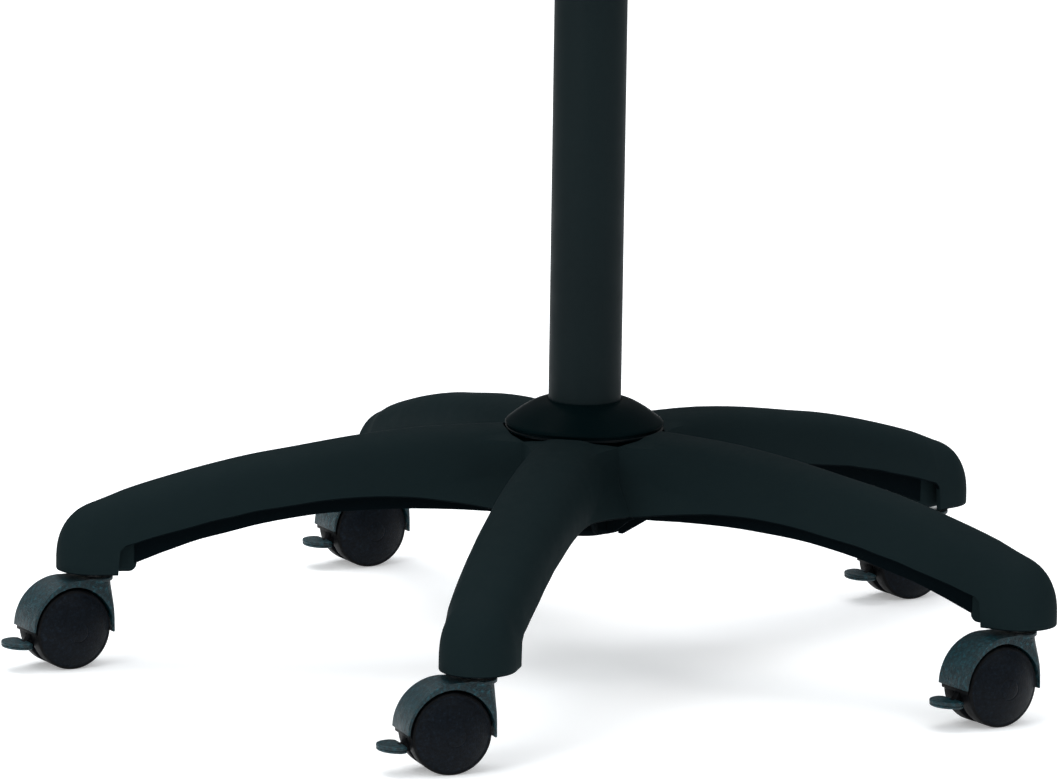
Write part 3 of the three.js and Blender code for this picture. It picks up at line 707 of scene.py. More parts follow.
def build_star():
    # inner skin from its crest down, round the lower rim, and the outer skin up to the crest
    rows = skin(reversed(INNER_H), WALL)
    rows.append(row(0, WALL, lambda q: EDGE(q) + 0.7))
    rows.append(row(0, WALL - 0.25, lambda q: EDGE(q) + 0.2))
    rows.append(row(0, WALL - 0.8, lambda q: EDGE(q)))
    rows.append(row(0, 0.9, lambda q: EDGE(q)))
    rows.append(row(0, 0.3, lambda q: EDGE(q) + 0.25))
    rows.append(row(0, 0.0, lambda q: EDGE(q) + 0.8))
    rows += skin(OUTER_H, 0.0)
    shell = star_mesh("star_base_shell", rows, "arm", top=CREST(0), bottom=CREST(0) - WALL)
    # the collar's pocket and the bore
    pocket = mesh_object("pocket", *lathe_data([(0, 142.4), (50.6, 142.4), (50.6, 170), (0, 170)], 128), "arm")
    boolean(shell, pocket, "DIFFERENCE")
    bore = mesh_object("bore", *lathe_data([(0, 70), (23.4, 70), (25.4, 160), (0, 160)], 96), "arm")
    boolean(shell, bore, "DIFFERENCE")
    finish_shading(shell, 33)
    # the inside of the moulding, painted darker as painted shade: every face that looks down or in towards the arm's
    # own middle
    shell.data.materials.append(MATS["arm_underside_painted_shade"])
    heading = [rad(a) for a in ARM_AZ]
    for p in shell.data.polygons:
        c, nrm = p.center, p.normal
        az = math.atan2(c.y, c.x)
        near = min(heading, key=lambda a: abs(math.atan2(math.sin(az - a), math.cos(az - a))))
        along = c.x * math.cos(near) + c.y * math.sin(near)
        side = -c.x * math.sin(near) + c.y * math.cos(near)
        inward = (-nrm.x * math.sin(near) + nrm.y * math.cos(near)) * (-1 if side > 0 else 1)
        reach = HALF_W(along / MM) * MM - 0.0022
        if nrm.z < -0.35 or (inward > 0.5 and abs(side) < reach and c.z < 0.14 and nrm.z < 0.05):
            p.material_index = 1
    return shell


def deep_star(inset):
    rows = [row(0, inset, lambda q: 40.0)] + skin(INNER_H, inset)
    return star_mesh("deep", rows, "arm", top=CREST(0) - inset, bottom=40.0)


def wall_mid(x, y):
    if x < 60:
        return 142.0
    return section_height(x, abs(y) / HALF_W(x), 0.0) - WALL / 2


def build_innards():
    """Hub boss with the pocket's floor, the five socket blocks and the ribs, all kept under the shell."""
    boss = mesh_object(
        "hub_core",
        *lathe_data(
            rounded(
                [(0, 83.6), (25.5, 83.6), (28.5, 87), (28.9, 138.8), (51.6, 138.8), (51.6, 142.4), (0, 142.4)],
                [0, 1.2, 1.2, 3.0, 0, 0, 0],
                closed=False,
            ),
            96,
        ),
        "arm",
    )
    boolean(boss, deep_star(0.9), "INTERSECT")
    bore = mesh_object("bore", *lathe_data([(0, 70), (23.4, 70), (25.4, 160), (0, 160)], 96), "arm")
    boolean(boss, bore, "DIFFERENCE")
    finish_shading(boss, 33)
    # the boss and the pocket's floor take the same darker colour, painted shade under the collar and the hub
    boss.data.materials[0] = MATS["arm_underside_painted_shade"]
    parts = [boss]
    az0 = rad(ARM_AZ[0])
    # one block, cut to the shell, then copied round
    side = rounded([(279.4, 130), (279.4, 60.4), (332, 60.4), (332, 130)], [0, 5.0, 0, 0])
    block = side_slab("block", side, -15, 15, "arm")
    bevel(block, 2.4, 4, 60)
    block.data.transform(Matrix.Rotation(az0, 4, "Z"))
    boolean(block, deep_star(0.9), "INTERSECT")
    hole = mesh_object("hole", *lathe_data([(0, 50), (8.35, 50), (8.35, 96), (0, 96)], 48), "arm")
    hole.data.transform(Matrix.Translation((STEM_R0 * MM * math.cos(az0), STEM_R0 * MM * math.sin(az0), 0)))
    boolean(block, hole, "DIFFERENCE")
    finish_shading(block, 33)
    for k in range(5):
        b = bpy.data.objects.new("block", block.data.copy())
        bpy.context.scene.collection.objects.link(b)
        b.data.transform(Matrix.Rotation(rad(72 * k), 4, "Z"))
        parts.append(b)
    bpy.data.objects.remove(block)
    # ribs, gussets and webs under the arms are coloured with the same painted shade as the shell's inside
    along = [26, 28, 31, 35, 40, 45, 49, 54, 60, 67, 76, 86, 96, 108] + list(range(120, 280, 8)) + [281]
    for k in range(5):
        turn = Matrix.Rotation(rad(ARM_AZ[k]), 4, "Z")
        for s in (-1, 1):
            outline = [(x, RIB(x)) for x in along] + [(x, wall_mid(x, 14)) for x in reversed(along)]
            n = len(outline)
            m = len(along)
            # a moulded rib: 2.2 at its free edge, 3 where it meets the wall, with the free edge rounded
            verts, faces = [], []
            rings = [(-1, 1.5, 0.0, True), (-1, 1.15, 0.45, False), (-1, 0.7, 0.0, False), (1, 0.7, 0.0, False), (1, 1.15, 0.45, False), (1, 1.5, 0.0, True)]
            for x in along:
                lo, hi = RIB(x), wall_mid(x, 14)
                for sg, hw, up, top in rings:
                    verts.append((x, s * 14 + sg * hw, hi if top else lo + up))
            w = len(rings)
            for i in range(m - 1):
                for j in range(w):
                    jj = (j + 1) % w
                    faces.append((i * w + j, i * w + jj, (i + 1) * w + jj, (i + 1) * w + j))
            faces.append(tuple(range(w)))
            faces.append(tuple(reversed(range((m - 1) * w, m * w))))
            r = mesh_object("rib", verts, faces, "arm_underside_painted_shade", 33)
            r.data.transform(turn)
            parts.append(r)
        # the plate under the arm's root, straight down to the boss
        gusset = side_slab("gusset", [(26, 82.8), (29, 82.8), (62, 103.8), (62, wall_mid(62, 0)), (54, 142), (26, 142)], -1.3, 1.3, "arm_underside_painted_shade")
        bevel(gusset, 0.45, 3, 60, 33)
        gusset.data.transform(turn)
        parts.append(gusset)
        for x in (104, 156, 212):
            z = RIB(x) + 1.5
            ys = np.linspace(-14, 14, 9)
            loops = []
            for dx, up in ((-1.4, None), (-1.1, 0.4), (-0.7, 0.0), (0.7, 0.0), (1.1, 0.4), (1.4, None)):
                loops.append([(x + dx, y, wall_mid(x, y) if up is None else z + up) for y in ys])
            web = loft("web", loops + [loops[0]], "arm_underside_painted_shade", 33, cap=False)
            bm = bmesh.new()
            bm.from_mesh(web.data)
            bmesh.ops.remove_doubles(bm, verts=bm.verts, dist=1e-6)
            bm.to_mesh(web.data)
            bm.free()
            web.data.transform(turn)
            parts.append(web)
    return join("star_base_ribs", parts)


shell = build_star()
place(shell, "base", "star_base")
ribs = build_innards()
place(ribs, "base")

# ---------------------------------------------------------------- hub and column
turned("hub_sleeve_form", [(21.15, 88), (23.5, 88), (24.7, 141.5), (22.5, 141.5)], "zinc", "base", 72, "hub_sleeve", 0.4)

# the collar: a low dome with a crisp rounded shoulder, a narrow groove and a lower rim
collar_top = table([(23.15, 165.7), (25.0, 165.5), (30, 164.1), (36, 161.1), (42, 157.2), (46, 154.1), (48.4, 152.2)])
collar = [(x, collar_top(x)) for x in (23.15, 24.2, 25.4, 27, 29, 31.5, 34, 36.5, 39, 41.5, 43.6, 45.4, 46.8, 48.0)]
collar += [(48.9, 151.7), (49.4, 151.0), (49.5, 150.3), (49.3, 149.7), (48.75, 149.35), (48.55, 149.0), (48.6, 148.6), (49.1, 148.3), (49.45, 147.8), (49.5, 147.2), (49.3, 146.55), (48.8, 146.2), (48.2, 146.1)]
collar += [(45.6, 146.1), (45.2, 145.8), (45.2, 142.9), (45.0, 142.7), (42.6, 142.7), (42.4, 142.9), (42.4, 152.4), (42.0, 153.2), (36, 157.4), (29, 161.2), (23.15, 162.6)]
o = mesh_object("base_collar_form", *lathe_data(collar, 160), "collar", 50)
o.data.materials.append(MATS["collar_rim"])
for p in o.data.polygons:
    if math.hypot(p.center.x, p.center.y) > 0.0484 and p.center.z < 0.1488:
        p.material_index = 1
place(o, "base", "base_collar")

turned(
    "stand_tube_form",
    [(11.6, 81), (15.8, 81), (20.3, 85), (20.75, 88), (22.05, 142), (22.65, 151), (22.65, 445), (20.65, 445), (20.65, 150), (18.4, 88), (17.4, 85.8), (6.5, 85.2), (6.5, 82.9), (11.6, 82.9)],
    "column", "base", 128, "stand_tube", 0.5,
)
turned(
    "guide_bush_form",
    [(14.3, 385), (20.35, 385), (20.35, 445.3), (22.25, 445.3), (22.25, 448.2), (20.65, 449.6), (14.3, 449.6)],
    "bush", "base", 96, "guide_bush", 0.4,
)
turned("lower_race_form", [(6.2, 86.6), (16, 86.6), (16, 88.8), (6.2, 88.8)], "steel", "base", 64, "bearing_lower_race", 0.3)
turned("ball_cage_form", [(6.8, 89.1), (15, 89.1), (15, 92.6), (6.8, 92.6)], "steel", "spindle", 64, "bearing_ball_cage", 0.4)
turned("upper_race_form", [(5.3, 92.9), (16, 92.9), (16, 95.1), (5.3, 95.1)], "steel", "spindle", 64, "bearing_upper_race", 0.3)
turned("rubber_buffer_form", [(5.3, 95.4), (13, 95.4), (14.4, 98), (14.4, 108.6), (5.3, 108.6)], "rubber", "spindle", 64, "rubber_buffer", 1.0)
turned(
    "piston_rod_form",
    [(0, 79.4), (4.2, 79.4), (4.2, 81.1), (3.4, 81.1), (3.4, 82.9), (4.2, 82.9), (4.2, 92.6), (5, 92.6), (5, 396), (3.2, 396), (3.2, 414), (0, 414)],
    "steel", "spindle", 48, "piston_rod", 0.3,
)
turned("piston_form", [(3.5, 396.3), (11.3, 396.3), (11.3, 410.3), (3.5, 410.3)], "alu", "spindle", 64, "piston", 0.5)
turned("retaining_clip_form", [(3.7, 81.4), (9.8, 81.4), (9.8, 82.6), (3.7, 82.6)], "zinc", "spindle", 64, "retaining_clip", 0.3)
turned(
    "pressure_cylinder_form",
    [(0, 544), (4.3, 544), (4.3, 566), (13.4, 566), (14, 518), (14, 185), (5.3, 185), (5.3, 199), (11.8, 199), (11.8, 500), (0, 500)],
    "enamel", "seat", 96, "pressure_cylinder", 0.6,
)
turned("release_pin_form", [(0, 549), (4, 549), (4, 569.8), (0, 569.8)], "button", "release_button", 48, "release_pin", 0.7)

# ---------------------------------------------------------------- casters
AX, AZ, WR = 20.2, 25.0, 25.0


def polar(r, deg):
    return (AX + r * math.cos(rad(deg)), AZ + r * math.sin(rad(deg)))


def rim_radius(deg):
    return float(np.interp(deg, [2, 27, 50, 70, 90], [28.0, 28.3, 28.9, 29.7, 30.5]))


def build_hood():
    """One moulded piece: the arch over the wheels, a flat round top about the stem, two thin front legs and the web."""
    top = 55.5
    outer = [polar(rim_radius(a), a) for a in np.linspace(2, 90, 30)]
    front = [(-9.3, top), (-9.05, 52), (-8.6, 46), (-8.15, 38), (-7.95, 30), (-7.9, 22.5), (-7.7, 21.9), (-7.2, 21.6)]
    inner = arc(AX, AZ, 26.7, 187.2, 2, 62)
    body = side_slab("hood", outer + front + inner, -14.5, 14.5, "caster")

    def plan(hw, back, corner, nose):
        pts = [(60, -nose), (60, nose), (26, nose), (16, 0.5 * (nose + hw))]
        pts += [(back + corner + corner * math.cos(rad(a)), hw - corner + corner * math.sin(rad(a))) for a in np.linspace(90, 180, 9)]
        pts += [(back + corner + corner * math.cos(rad(a)), -(hw - corner) + corner * math.sin(rad(a))) for a in np.linspace(180, 270, 9)]
        pts += [(16, -0.5 * (nose + hw)), (26, -nose)]
        return pts

    zs = [18, 30, 36, 40, 44, 47, 50, 52.5, 55, 58]
    hw = [14.5, 14.5, 14.2, 13.7, 13.0, 12.3, 11.6, 11.1, 10.7, 10.6]
    bk = [-8.0, -8.0, -8.2, -8.4, -8.7, -8.95, -9.1, -9.2, -9.3, -9.3]
    co = [1.2, 1.8, 3.0, 4.6, 6.4, 7.6, 8.6, 9.0, 9.2, 9.2]
    no = [14.5, 14.5, 14.5, 14.5, 14.4, 14.3, 14.0, 13.6, 13.1, 12.8]
    env = loft("env", [[(x, y, z) for x, y in plan(h, b, min(c, h - 0.05), n)] for z, h, b, c, n in zip(zs, hw, bk, co, no)], "caster")
    boolean(body, env, "INTERSECT")
    tidy(body, 0.03, 0.5)
    bevel(body, 0.45, 3, 40, 42)
    # the web between the wheels, with the axle's boss and the brake's pivot seat, near-black as painted shade in the
    # recess
    web_line = arc(AX, AZ, 27, 8, 178, 40) + [(-5.4, 24), (6, 19.5)] + arc(AX, AZ, 7.4, 215, 330, 12) + [(30.6, 24), (31, 36.2), (38, 36.6), (42.5, 33)]
    web = side_slab("web", web_line, -2.5, 2.5, "tread")
    # the flange the stem stands in, with a thin raised lip
    lip = mesh_object(
        "lip",
        *lathe_data(rounded([(5.8, 46.2), (8.4, 46.2), (9.2, 52.4), (11.7, 53.1), (11.7, 55.2), (10.2, 55.5), (5.8, 55.5)], [0, 0, 0.8, 0.7, 0.5, 0.3, 0.2]), 72),
        "caster",
        40,
    )
    # the inner layer that shows below the trailing edge of the arch, near-black as painted shade in the recess behind
    # it
    under = [polar(26.9, a) for a in np.linspace(-3.5, 40, 14)] + [polar(25.7, a) for a in np.linspace(40, -3.5, 14)]
    tongue = side_slab("tongue", under, -12.9, 12.9, "tread")
    bevel(tongue, 0.25, 2, 40)
    hood = join("hood", [body, web, lip, tongue])
    hood.data.name = "caster_hood_form"
    return hood


def wheel_profile():
    """Half a section of one wheel: recessed rim, a shallow dome with a hub cap, a crowned tread."""
    p = [(2.85, 14.2), (2.85, 4.0), (9.0, 3.4), (9.6, 3.9), (10.2, 6.2), (20.6, 6.2), (21.4, 5.6), (21.8, 3.4), (24.2, 3.1)]
    p += [(24.75, 3.4), (24.98, 4.2), (25.0, 8.5), (24.98, 12.2), (24.75, 13.2), (24.2, 13.8), (23.4, 14.05)]
    p += [(22.8, 14.15), (22.2, 14.45), (21.5, 15.0)]
    p += [(20, 15.85), (18, 16.85), (16, 17.7), (14, 18.4), (12, 19.05), (10, 19.6), (8.4, 19.97), (7.0, 20.26)]
    p += [(6.6, 20.32), (6.4, 20.2), (6.25, 20.2), (6.05, 20.42), (5.6, 20.62), (4.4, 20.86), (3, 21.08), (1.5, 21.2), (0, 21.24)]
    return [(0, 14.2)] + p


def build_wheel():
    o = mesh_object("wheel", *lathe_data(wheel_profile(), 128), "wheel", 48)
    # faces out past r 23.2 take the near-black colour: partly the darker tread, partly painted shadow of the gap
    # between the hood and the wheel's face
    o.data.materials.append(MATS["tread"])
    for p in o.data.polygons:
        if math.hypot(p.center.x, p.center.y) > 0.0232:
            p.material_index = 1
    o.data.transform(Matrix.Rotation(-math.pi / 2, 4, "X"))
    o.data.name = "caster_wheel_form"
    return o


def build_pedal():
    """A thin wide paddle, round at its outer end, on a short curved neck that goes up between the wheels to its pivot."""
    px, pz = 34.6, 31.4
    loops = []
    # from below: a chamfered ledge, a shadow line, then the upper plate with its dished top
    for i, dz in (
        (2.2, -0.6), (1.2, -0.5), (0.5, -0.2), (0.15, 0.2), (0.1, 0.9), (0.5, 1.1), (0.5, 1.35), (0.08, 1.55),
        (0.0, 1.9), (0.0, 2.7), (0.25, 3.2), (0.8, 3.45), (1.6, 3.5), (2.6, 3.35), (4.0, 3.1),
    ):
        half = [(46.9 + 0.5 * i, 3.4 - 0.2 * i), (47.3 + 0.5 * i, 10.8 - 0.85 * i)]
        half += [(50.3 + (12.3 - i) * math.cos(rad(a)), (12.3 - i) * math.sin(rad(a))) for a in (90, 80, 70, 60, 50, 40, 30, 20, 10, 0)]
        line = [(x, -y) for x, y in half] + half[-2::-1]
        pts = rounded(line, [0, 1.3] + [0] * 19 + [1.3, 0], n=4)
        loops.append([(x, y, 14.9 + dz + 0.04 * (x - 46)) for x, y in pts])
    tab = loft("tab", loops, "caster", 32)
    # the neck is near-black, painted shade for the recess between the hood and the pedal
    neck_line = arc(px, pz, 3.1, 60, 230, 14) + [(38.4, 21.4), (43.3, 13.7), (51.6, 15.3), (51.6, 17.6), (47.4, 18.7), (43.2, 25.4), (38.6, 29.6)]
    neck = side_slab("neck", rounded(neck_line, [0] * 15 + [1.0, 1.0, 0, 0, 1.0, 1.0, 0.5]), -2.3, 2.3, "tread")
    bevel(neck, 0.4, 2, 40)
    pedal = join("pedal", [tab, neck])
    pedal.data.name = "brake_pedal_form"
    return pedal


def build_axle():
    p = rounded([(0, -13.6), (2.5, -13.6), (2.5, 13.6), (0, 13.6)], [0, 0.5, 0.5, 0], closed=False)
    o = mesh_object("axle", *lathe_data(p, 32), "zinc", 38)
    o.data.transform(Matrix.Rotation(-math.pi / 2, 4, "X"))
    o.data.transform(Matrix.Translation((AX * MM, 0, AZ * MM)))
    return o


def build_stem():
    p = [(0, 46.6), (5.5, 46.6), (5.5, 82), (4.2, 82.6), (4.2, 85), (5.3, 85.6), (5.3, 89), (3.6, 92.4), (0, 92.4)]
    return mesh_object("stem", *lathe_data(rounded(p, 0.3, closed=False), 48), "zinc", 38)


def build_socket():
    p = [(6.1, 60), (8, 60), (8, 95.4), (6.1, 95.4)]
    return mesh_object("socket", *lathe_data(rounded(p, 0.3), 48), "zinc", 38)


hood0, wheel0, pedal0, axle0, stem0, socket0 = build_hood(), build_wheel(), build_pedal(), build_axle(), build_stem(), build_socket()


def copy_of(src, name, matrix):
    o = bpy.data.objects.new(name, src.data)
    bpy.context.scene.collection.objects.link(o)
    o.matrix_world = matrix
    return o


for k in range(5):
    n = k + 1
    a = rad(ARM_AZ[k])
    at = Matrix.Translation((STEM_R0 * MM * math.cos(a), STEM_R0 * MM * math.sin(a), 0)) @ Matrix.Rotation(math.pi + rad(TRAIL[k]), 4, "Z")
    hub = at @ Matrix.Translation((AX * MM, 0, AZ * MM))
    place(copy_of(socket0, f"socket_liner_{n}", at), "base", f"caster_socket_{n}")
    place(copy_of(stem0, f"grip_stem_{n}", at), "base", f"caster_stem_{n}")
    place(copy_of(hood0, f"hood_{n}", at), f"caster_{n}", f"caster_hood_{n}")
    place(copy_of(axle0, f"axle_{n}", at), f"caster_{n}", f"wheel_axle_{n}")
    spin = Matrix.Rotation(rad(90 * n), 4, "Y")
    place(copy_of(wheel0, f"wheel_{n}a_form", hub @ spin), f"wheel_{n}a", f"caster_wheel_{n}a")
    place(copy_of(wheel0, f"wheel_{n}b_form", hub @ Matrix.Rotation(math.pi, 4, "Z") @ spin), f"wheel_{n}b", f"caster_wheel_{n}b")
    place(copy_of(pedal0, f"pedal_{n}", at), f"brake_{n}", f"brake_pedal_{n}")
for o in (hood0, wheel0, pedal0, axle0, stem0, socket0):
    bpy.data.objects.remove(o)


# ---------------------------------------------------------------- seat mechanism
def build_mechanism():
    plate = prism("plate", round_rect(84, 84, 12, 8), 575, 578, "enamel")
    for x in (-65, 65):
        for y in (-65, 65):
            h = prism("h", [(x + px, y + py) for px, py in arc(0, 0, 3.5, 0, 337.5, 15)], 570, 582, "enamel")
            boolean(plate, h, "DIFFERENCE")
    bevel(plate, 0.8, 3, 40)
    # deep-drawn housing with soft corners and drafted walls
    loops = []
    for z, g, r in ((575.4, 1.6, 9.6), (574.2, 0.5, 8.5), (572.5, 0, 8), (560, -0.4, 8), (541, -0.9, 8), (538.4, -1.5, 7.6), (536.6, -3.0, 7.0), (536.0, -5.5, 6.0), (536.0, -9.0, 5.0)):
        loops.append([(x, y, z) for x, y in round_rect(46 + g, 34 + g, r, 8)])
    shell_ = loft("housing", loops, "enamel", 33)
    inner_ = loft("inner", [[(x, y, z) for x, y in round_rect(43.4, 31.4, 5.4, 6)] for z in (538.6, 590)], "enamel")
    boolean(shell_, inner_, "DIFFERENCE")
    socket = mesh_object(
        "socket_tube",
        *lathe_data(rounded([(14.3, 518), (17.6, 518), (19, 519.6), (19, 534.6), (20.6, 536.6), (19, 540), (19, 562), (13.9, 562)], [0.3, 0.6, 0.6, 1.2, 0.8, 0.5, 0.5, 0.3]), 80),
        "enamel", 38,
    )
    slot_ = prism("slot", [(40, -7), (52, -7), (52, 7), (40, 7)], 550, 574, "enamel")
    boolean(shell_, slot_, "DIFFERENCE")
    finish_shading(shell_, 33)
    # weld bead round the socket
    beads = []
    ring_n = 120
    verts, faces = [], []
    for i in range(ring_n):
        t = 2 * math.pi * i / ring_n
        w = 1.5 + 0.35 * math.sin(t * 38) + 0.12 * math.sin(t * 11 + 1)
        for j in range(8):
            b = 2 * math.pi * j / 8
            r = 19.6 + w * math.cos(b)
            verts.append((r * math.cos(t), r * math.sin(t), 535.6 + w * math.sin(b)))
    for i in range(ring_n):
        for j in range(8):
            faces.append((i * 8 + j, ((i + 1) % ring_n) * 8 + j, ((i + 1) % ring_n) * 8 + (j + 1) % 8, i * 8 + (j + 1) % 8))
    beads.append(mesh_object("bead", verts, faces, "enamel", 60))
    out = join("seat_mechanism_form", [plate, shell_, socket] + beads)
    return out


place(build_mechanism(), "seat", "seat_mechanism")

pin = mesh_object("lever_pivot_form", *lathe_data(rounded([(0, -36.5), (2.5, -36.5), (2.5, 36.5), (0, 36.5)], [0, 0.6, 0.6, 0], closed=False), 32), "zinc", 38)
pin.data.transform(Matrix.Rotation(-math.pi / 2, 4, "X"))
pin.data.transform(Matrix.Translation((0.030, 0, 0.567)))
place(pin, "seat", "lever_pivot_pin")

for i, (x, y) in enumerate([(-65, -65), (-65, 65), (65, -65), (65, 65)]):
    # pan head with a hexagon recess, and the threaded shank
    head = mesh_object("head", *lathe_data(rounded([(0, 570.9), (3.6, 570.9), (5.3, 572.0), (5.8, 573.4), (5.8, 574.7), (0, 574.7)], [0, 0.6, 0.6, 0.5, 0.2, 0], closed=False), 48), "zinc", 38)
    hexa = prism("hexa", arc(0, 0, 2.3, 0, 300, 5), 570.0, 573.0, "zinc")
    boolean(head, hexa, "DIFFERENCE")
    finish_shading(head, 33)
    shank = [(0, 574.2), (3, 574.2)]
    z = 575.0
    while z < 587.4:
        shank += [(3.0, z), (2.6, z + 0.45)]
        z += 0.9
    shank += [(2.6, 588.1), (0, 588.1)]
    sh = mesh_object("shank", *lathe_data(shank, 32), "zinc", 25)
    s = join(f"seat_screw_form_{i + 1}", [head, sh])
    s.data.transform(Matrix.Translation((x * MM, y * MM, 0)))
    place(s, "seat", f"seat_screw_{i + 1}")


# ---------------------------------------------------------------- lever
def spline(points, steps):
    """Centripetal curve through the points."""
    P = [Vector(p) for p in points]
    P = [P[0] * 2 - P[1]] + P + [P[-1] * 2 - P[-2]]
    out = []
    for i in range(1, len(P) - 2):
        for s in range(steps):
            t = s / steps
            a, b, c, d = P[i - 1], P[i], P[i + 1], P[i + 2]
            out.append(0.5 * ((2 * b) + (c - a) * t + (2 * a - 5 * b + 4 * c - d) * t * t + (3 * b - a - 3 * c + d) * t**3))
    out.append(P[-2])
    return out


def build_lever():
    path = spline([(36, 0, 566), (48, 0, 563), (66, 0, 556), (92, 0, 550), (130, 0, 548), (176, 0, 548)], 10)
    loops = []
    for i, p in enumerate(path):
        t = (path[min(i + 1, len(path) - 1)] - path[max(i - 1, 0)]).normalized()
        side = Vector((0, 1, 0))
        up = t.cross(side) * -1
        flat = 1.0 - 0.35 * max(0.0, 1 - i / 9)
        loops.append([tuple(p + side * 3.8 * flat * math.cos(a) + up * 3.8 * math.sin(a)) for a in np.linspace(0, 2 * math.pi, 21)[:-1]])
    rod = loft("rod", loops, "enamel", 40)
    outline = [(-6, 570.2), (14.6, 570), (22, 562.5), (30, 560.4), (40, 562), (42, 569.5), (36, 572.6), (26, 573.4), (-4, 573.4), (-6, 572.4)]
    blade = side_slab("blade", rounded(outline, [1, 2, 4, 8, 3, 3, 4, 4, 0.8, 0.8]), -4.5, 4.5, "enamel")
    hole = side_slab("hole", arc(30, 567, 2.8, 0, 345, 23), -9, 9, "enamel")
    boolean(blade, hole, "DIFFERENCE")
    bevel(blade, 0.7, 3, 50)
    return join("release_lever_form", [rod, blade])


def build_grip():
    """Moulded paddle: a collar, a waist and a flattened blade with finger grooves underneath."""
    stations = [
        (139.9, 3.9, 4.1, 548), (140.0, 4.6, 4.9, 548), (140.6, 5.2, 5.4, 548), (143.6, 5.5, 5.6, 548), (144.2, 5.0, 5.2, 548), (145.0, 5.3, 5.4, 548),
        (150, 6.9, 6.0, 548), (156, 8.5, 6.3, 548), (164, 10.0, 6.2, 547.8), (172, 11.2, 5.9, 547.6), (180, 12.0, 5.5, 547.3),
        (188, 12.2, 5.1, 547), (194, 11.6, 4.7, 546.8), (199, 10.2, 4.2, 546.6), (202, 8.4, 3.6, 546.5), (203.5, 6.2, 2.9, 546.5), (204, 3.6, 1.8, 546.5),
    ]
    loops = []
    for x, hy, hz, zc in stations:
        l = []
        for i in range(36):
            a = 2 * math.pi * i / 36
            c, s = math.cos(a), math.sin(a)
            groove = 0.0
            if s < -0.2 and 158 < x < 196:
                groove = 0.35 * (0.5 + 0.5 * math.cos((x - 158) * 2 * math.pi / 7.6)) * min(1.0, (-s - 0.2) / 0.4)
            l.append((x, hy * (abs(c) ** 0.86) * (1 if c >= 0 else -1), zc + (hz - groove) * (abs(s) ** 0.9) * (1 if s >= 0 else -1)))
        loops.append(l)
    # finer rows where the grooves are
    fine = []
    for a, b in zip(loops, loops[1:]):
        steps = max(1, int(abs(b[0][0] - a[0][0]) / 1.2))
        for s in range(steps):
            t = s / steps
            rowv = []
            for p, q in zip(a, b):
                x = p[0] + (q[0] - p[0]) * t
                rowv.append((x, p[1] + (q[1] - p[1]) * t, p[2] + (q[2] - p[2]) * t))
            fine.append(rowv)
    fine.append(loops[-1])
    g = loft("lever_grip_form", fine, "caster", 40)
    hole = mesh_object("hole", *lathe_data([(0, 130), (4.2, 130), (4.2, 176.5), (0, 176.5)], 32), "caster")
    hole.data.transform(Matrix.Rotation(math.pi / 2, 4, "Y"))
    hole.data.transform(Matrix.Translation((0, 0, 0.548)))
    boolean(g, hole, "DIFFERENCE")
    finish_shading(g, 40)
    return g


place(build_lever(), "lever", "release_lever")
place(build_grip(), "lever", "lever_grip")

# ---------------------------------------------------------------- seat
PAN_Z, PAN_T, PAN_R = 578.3, 12.0, 165.0


def build_pan():
    """Plywood disc with softened edges and four screw holes."""
    prof = [(0, PAN_Z)]
    prof += [(PAN_R - 1.0, PAN_Z), (PAN_R - 0.2, PAN_Z + 0.3), (PAN_R, PAN_Z + 1.0), (PAN_R, PAN_Z + PAN_T - 1.0), (PAN_R - 0.2, PAN_Z + PAN_T - 0.3), (PAN_R - 1.0, PAN_Z + PAN_T), (0, PAN_Z + PAN_T)]
    o = mesh_object("seat_pan_form", *lathe_data(prof, 128), "ply", 38)
    for x in (-65, 65):
        for y in (-65, 65):
            h = prism("h", [(x + px, y + py) for px, py in arc(0, 0, 3.5, 0, 337.5, 15)], PAN_Z - 2, PAN_Z + 10.5, "ply")
            boolean(o, h, "DIFFERENCE")
    finish_shading(o, 33)
    return o


place(build_pan(), "seat", "seat_pan")


def cushion_start():
    """The foam before the cover is filled: a crowned disc that wraps the pan's edge."""
    prof = rounded(
        [(0, 590.9), (165.4, 590.9), (165.4, 579.2), (170.5, 579.2), (175.0, 583.5), (177.0, 600), (177.0, 628), (173.5, 639.5), (162, 646.5), (112, 652.2), (0, 653.2)],
        [0, 0.6, 0.6, 1.5, 6, 20, 16, 10, 14, 60, 0],
        closed=False, n=6,
    )
    dense = []
    for (r0, z0), (r1, z1) in zip(prof, prof[1:]):
        steps = max(1, int(math.hypot(r1 - r0, z1 - z0) / 8))
        for s in range(steps):
            t = s / steps
            dense.append((r0 + (r1 - r0) * t, z0 + (z1 - z0) * t))
    dense.append(prof[-1])
    return mesh_object("cushion_start", *lathe_data(dense, 96), "vinyl", 60)


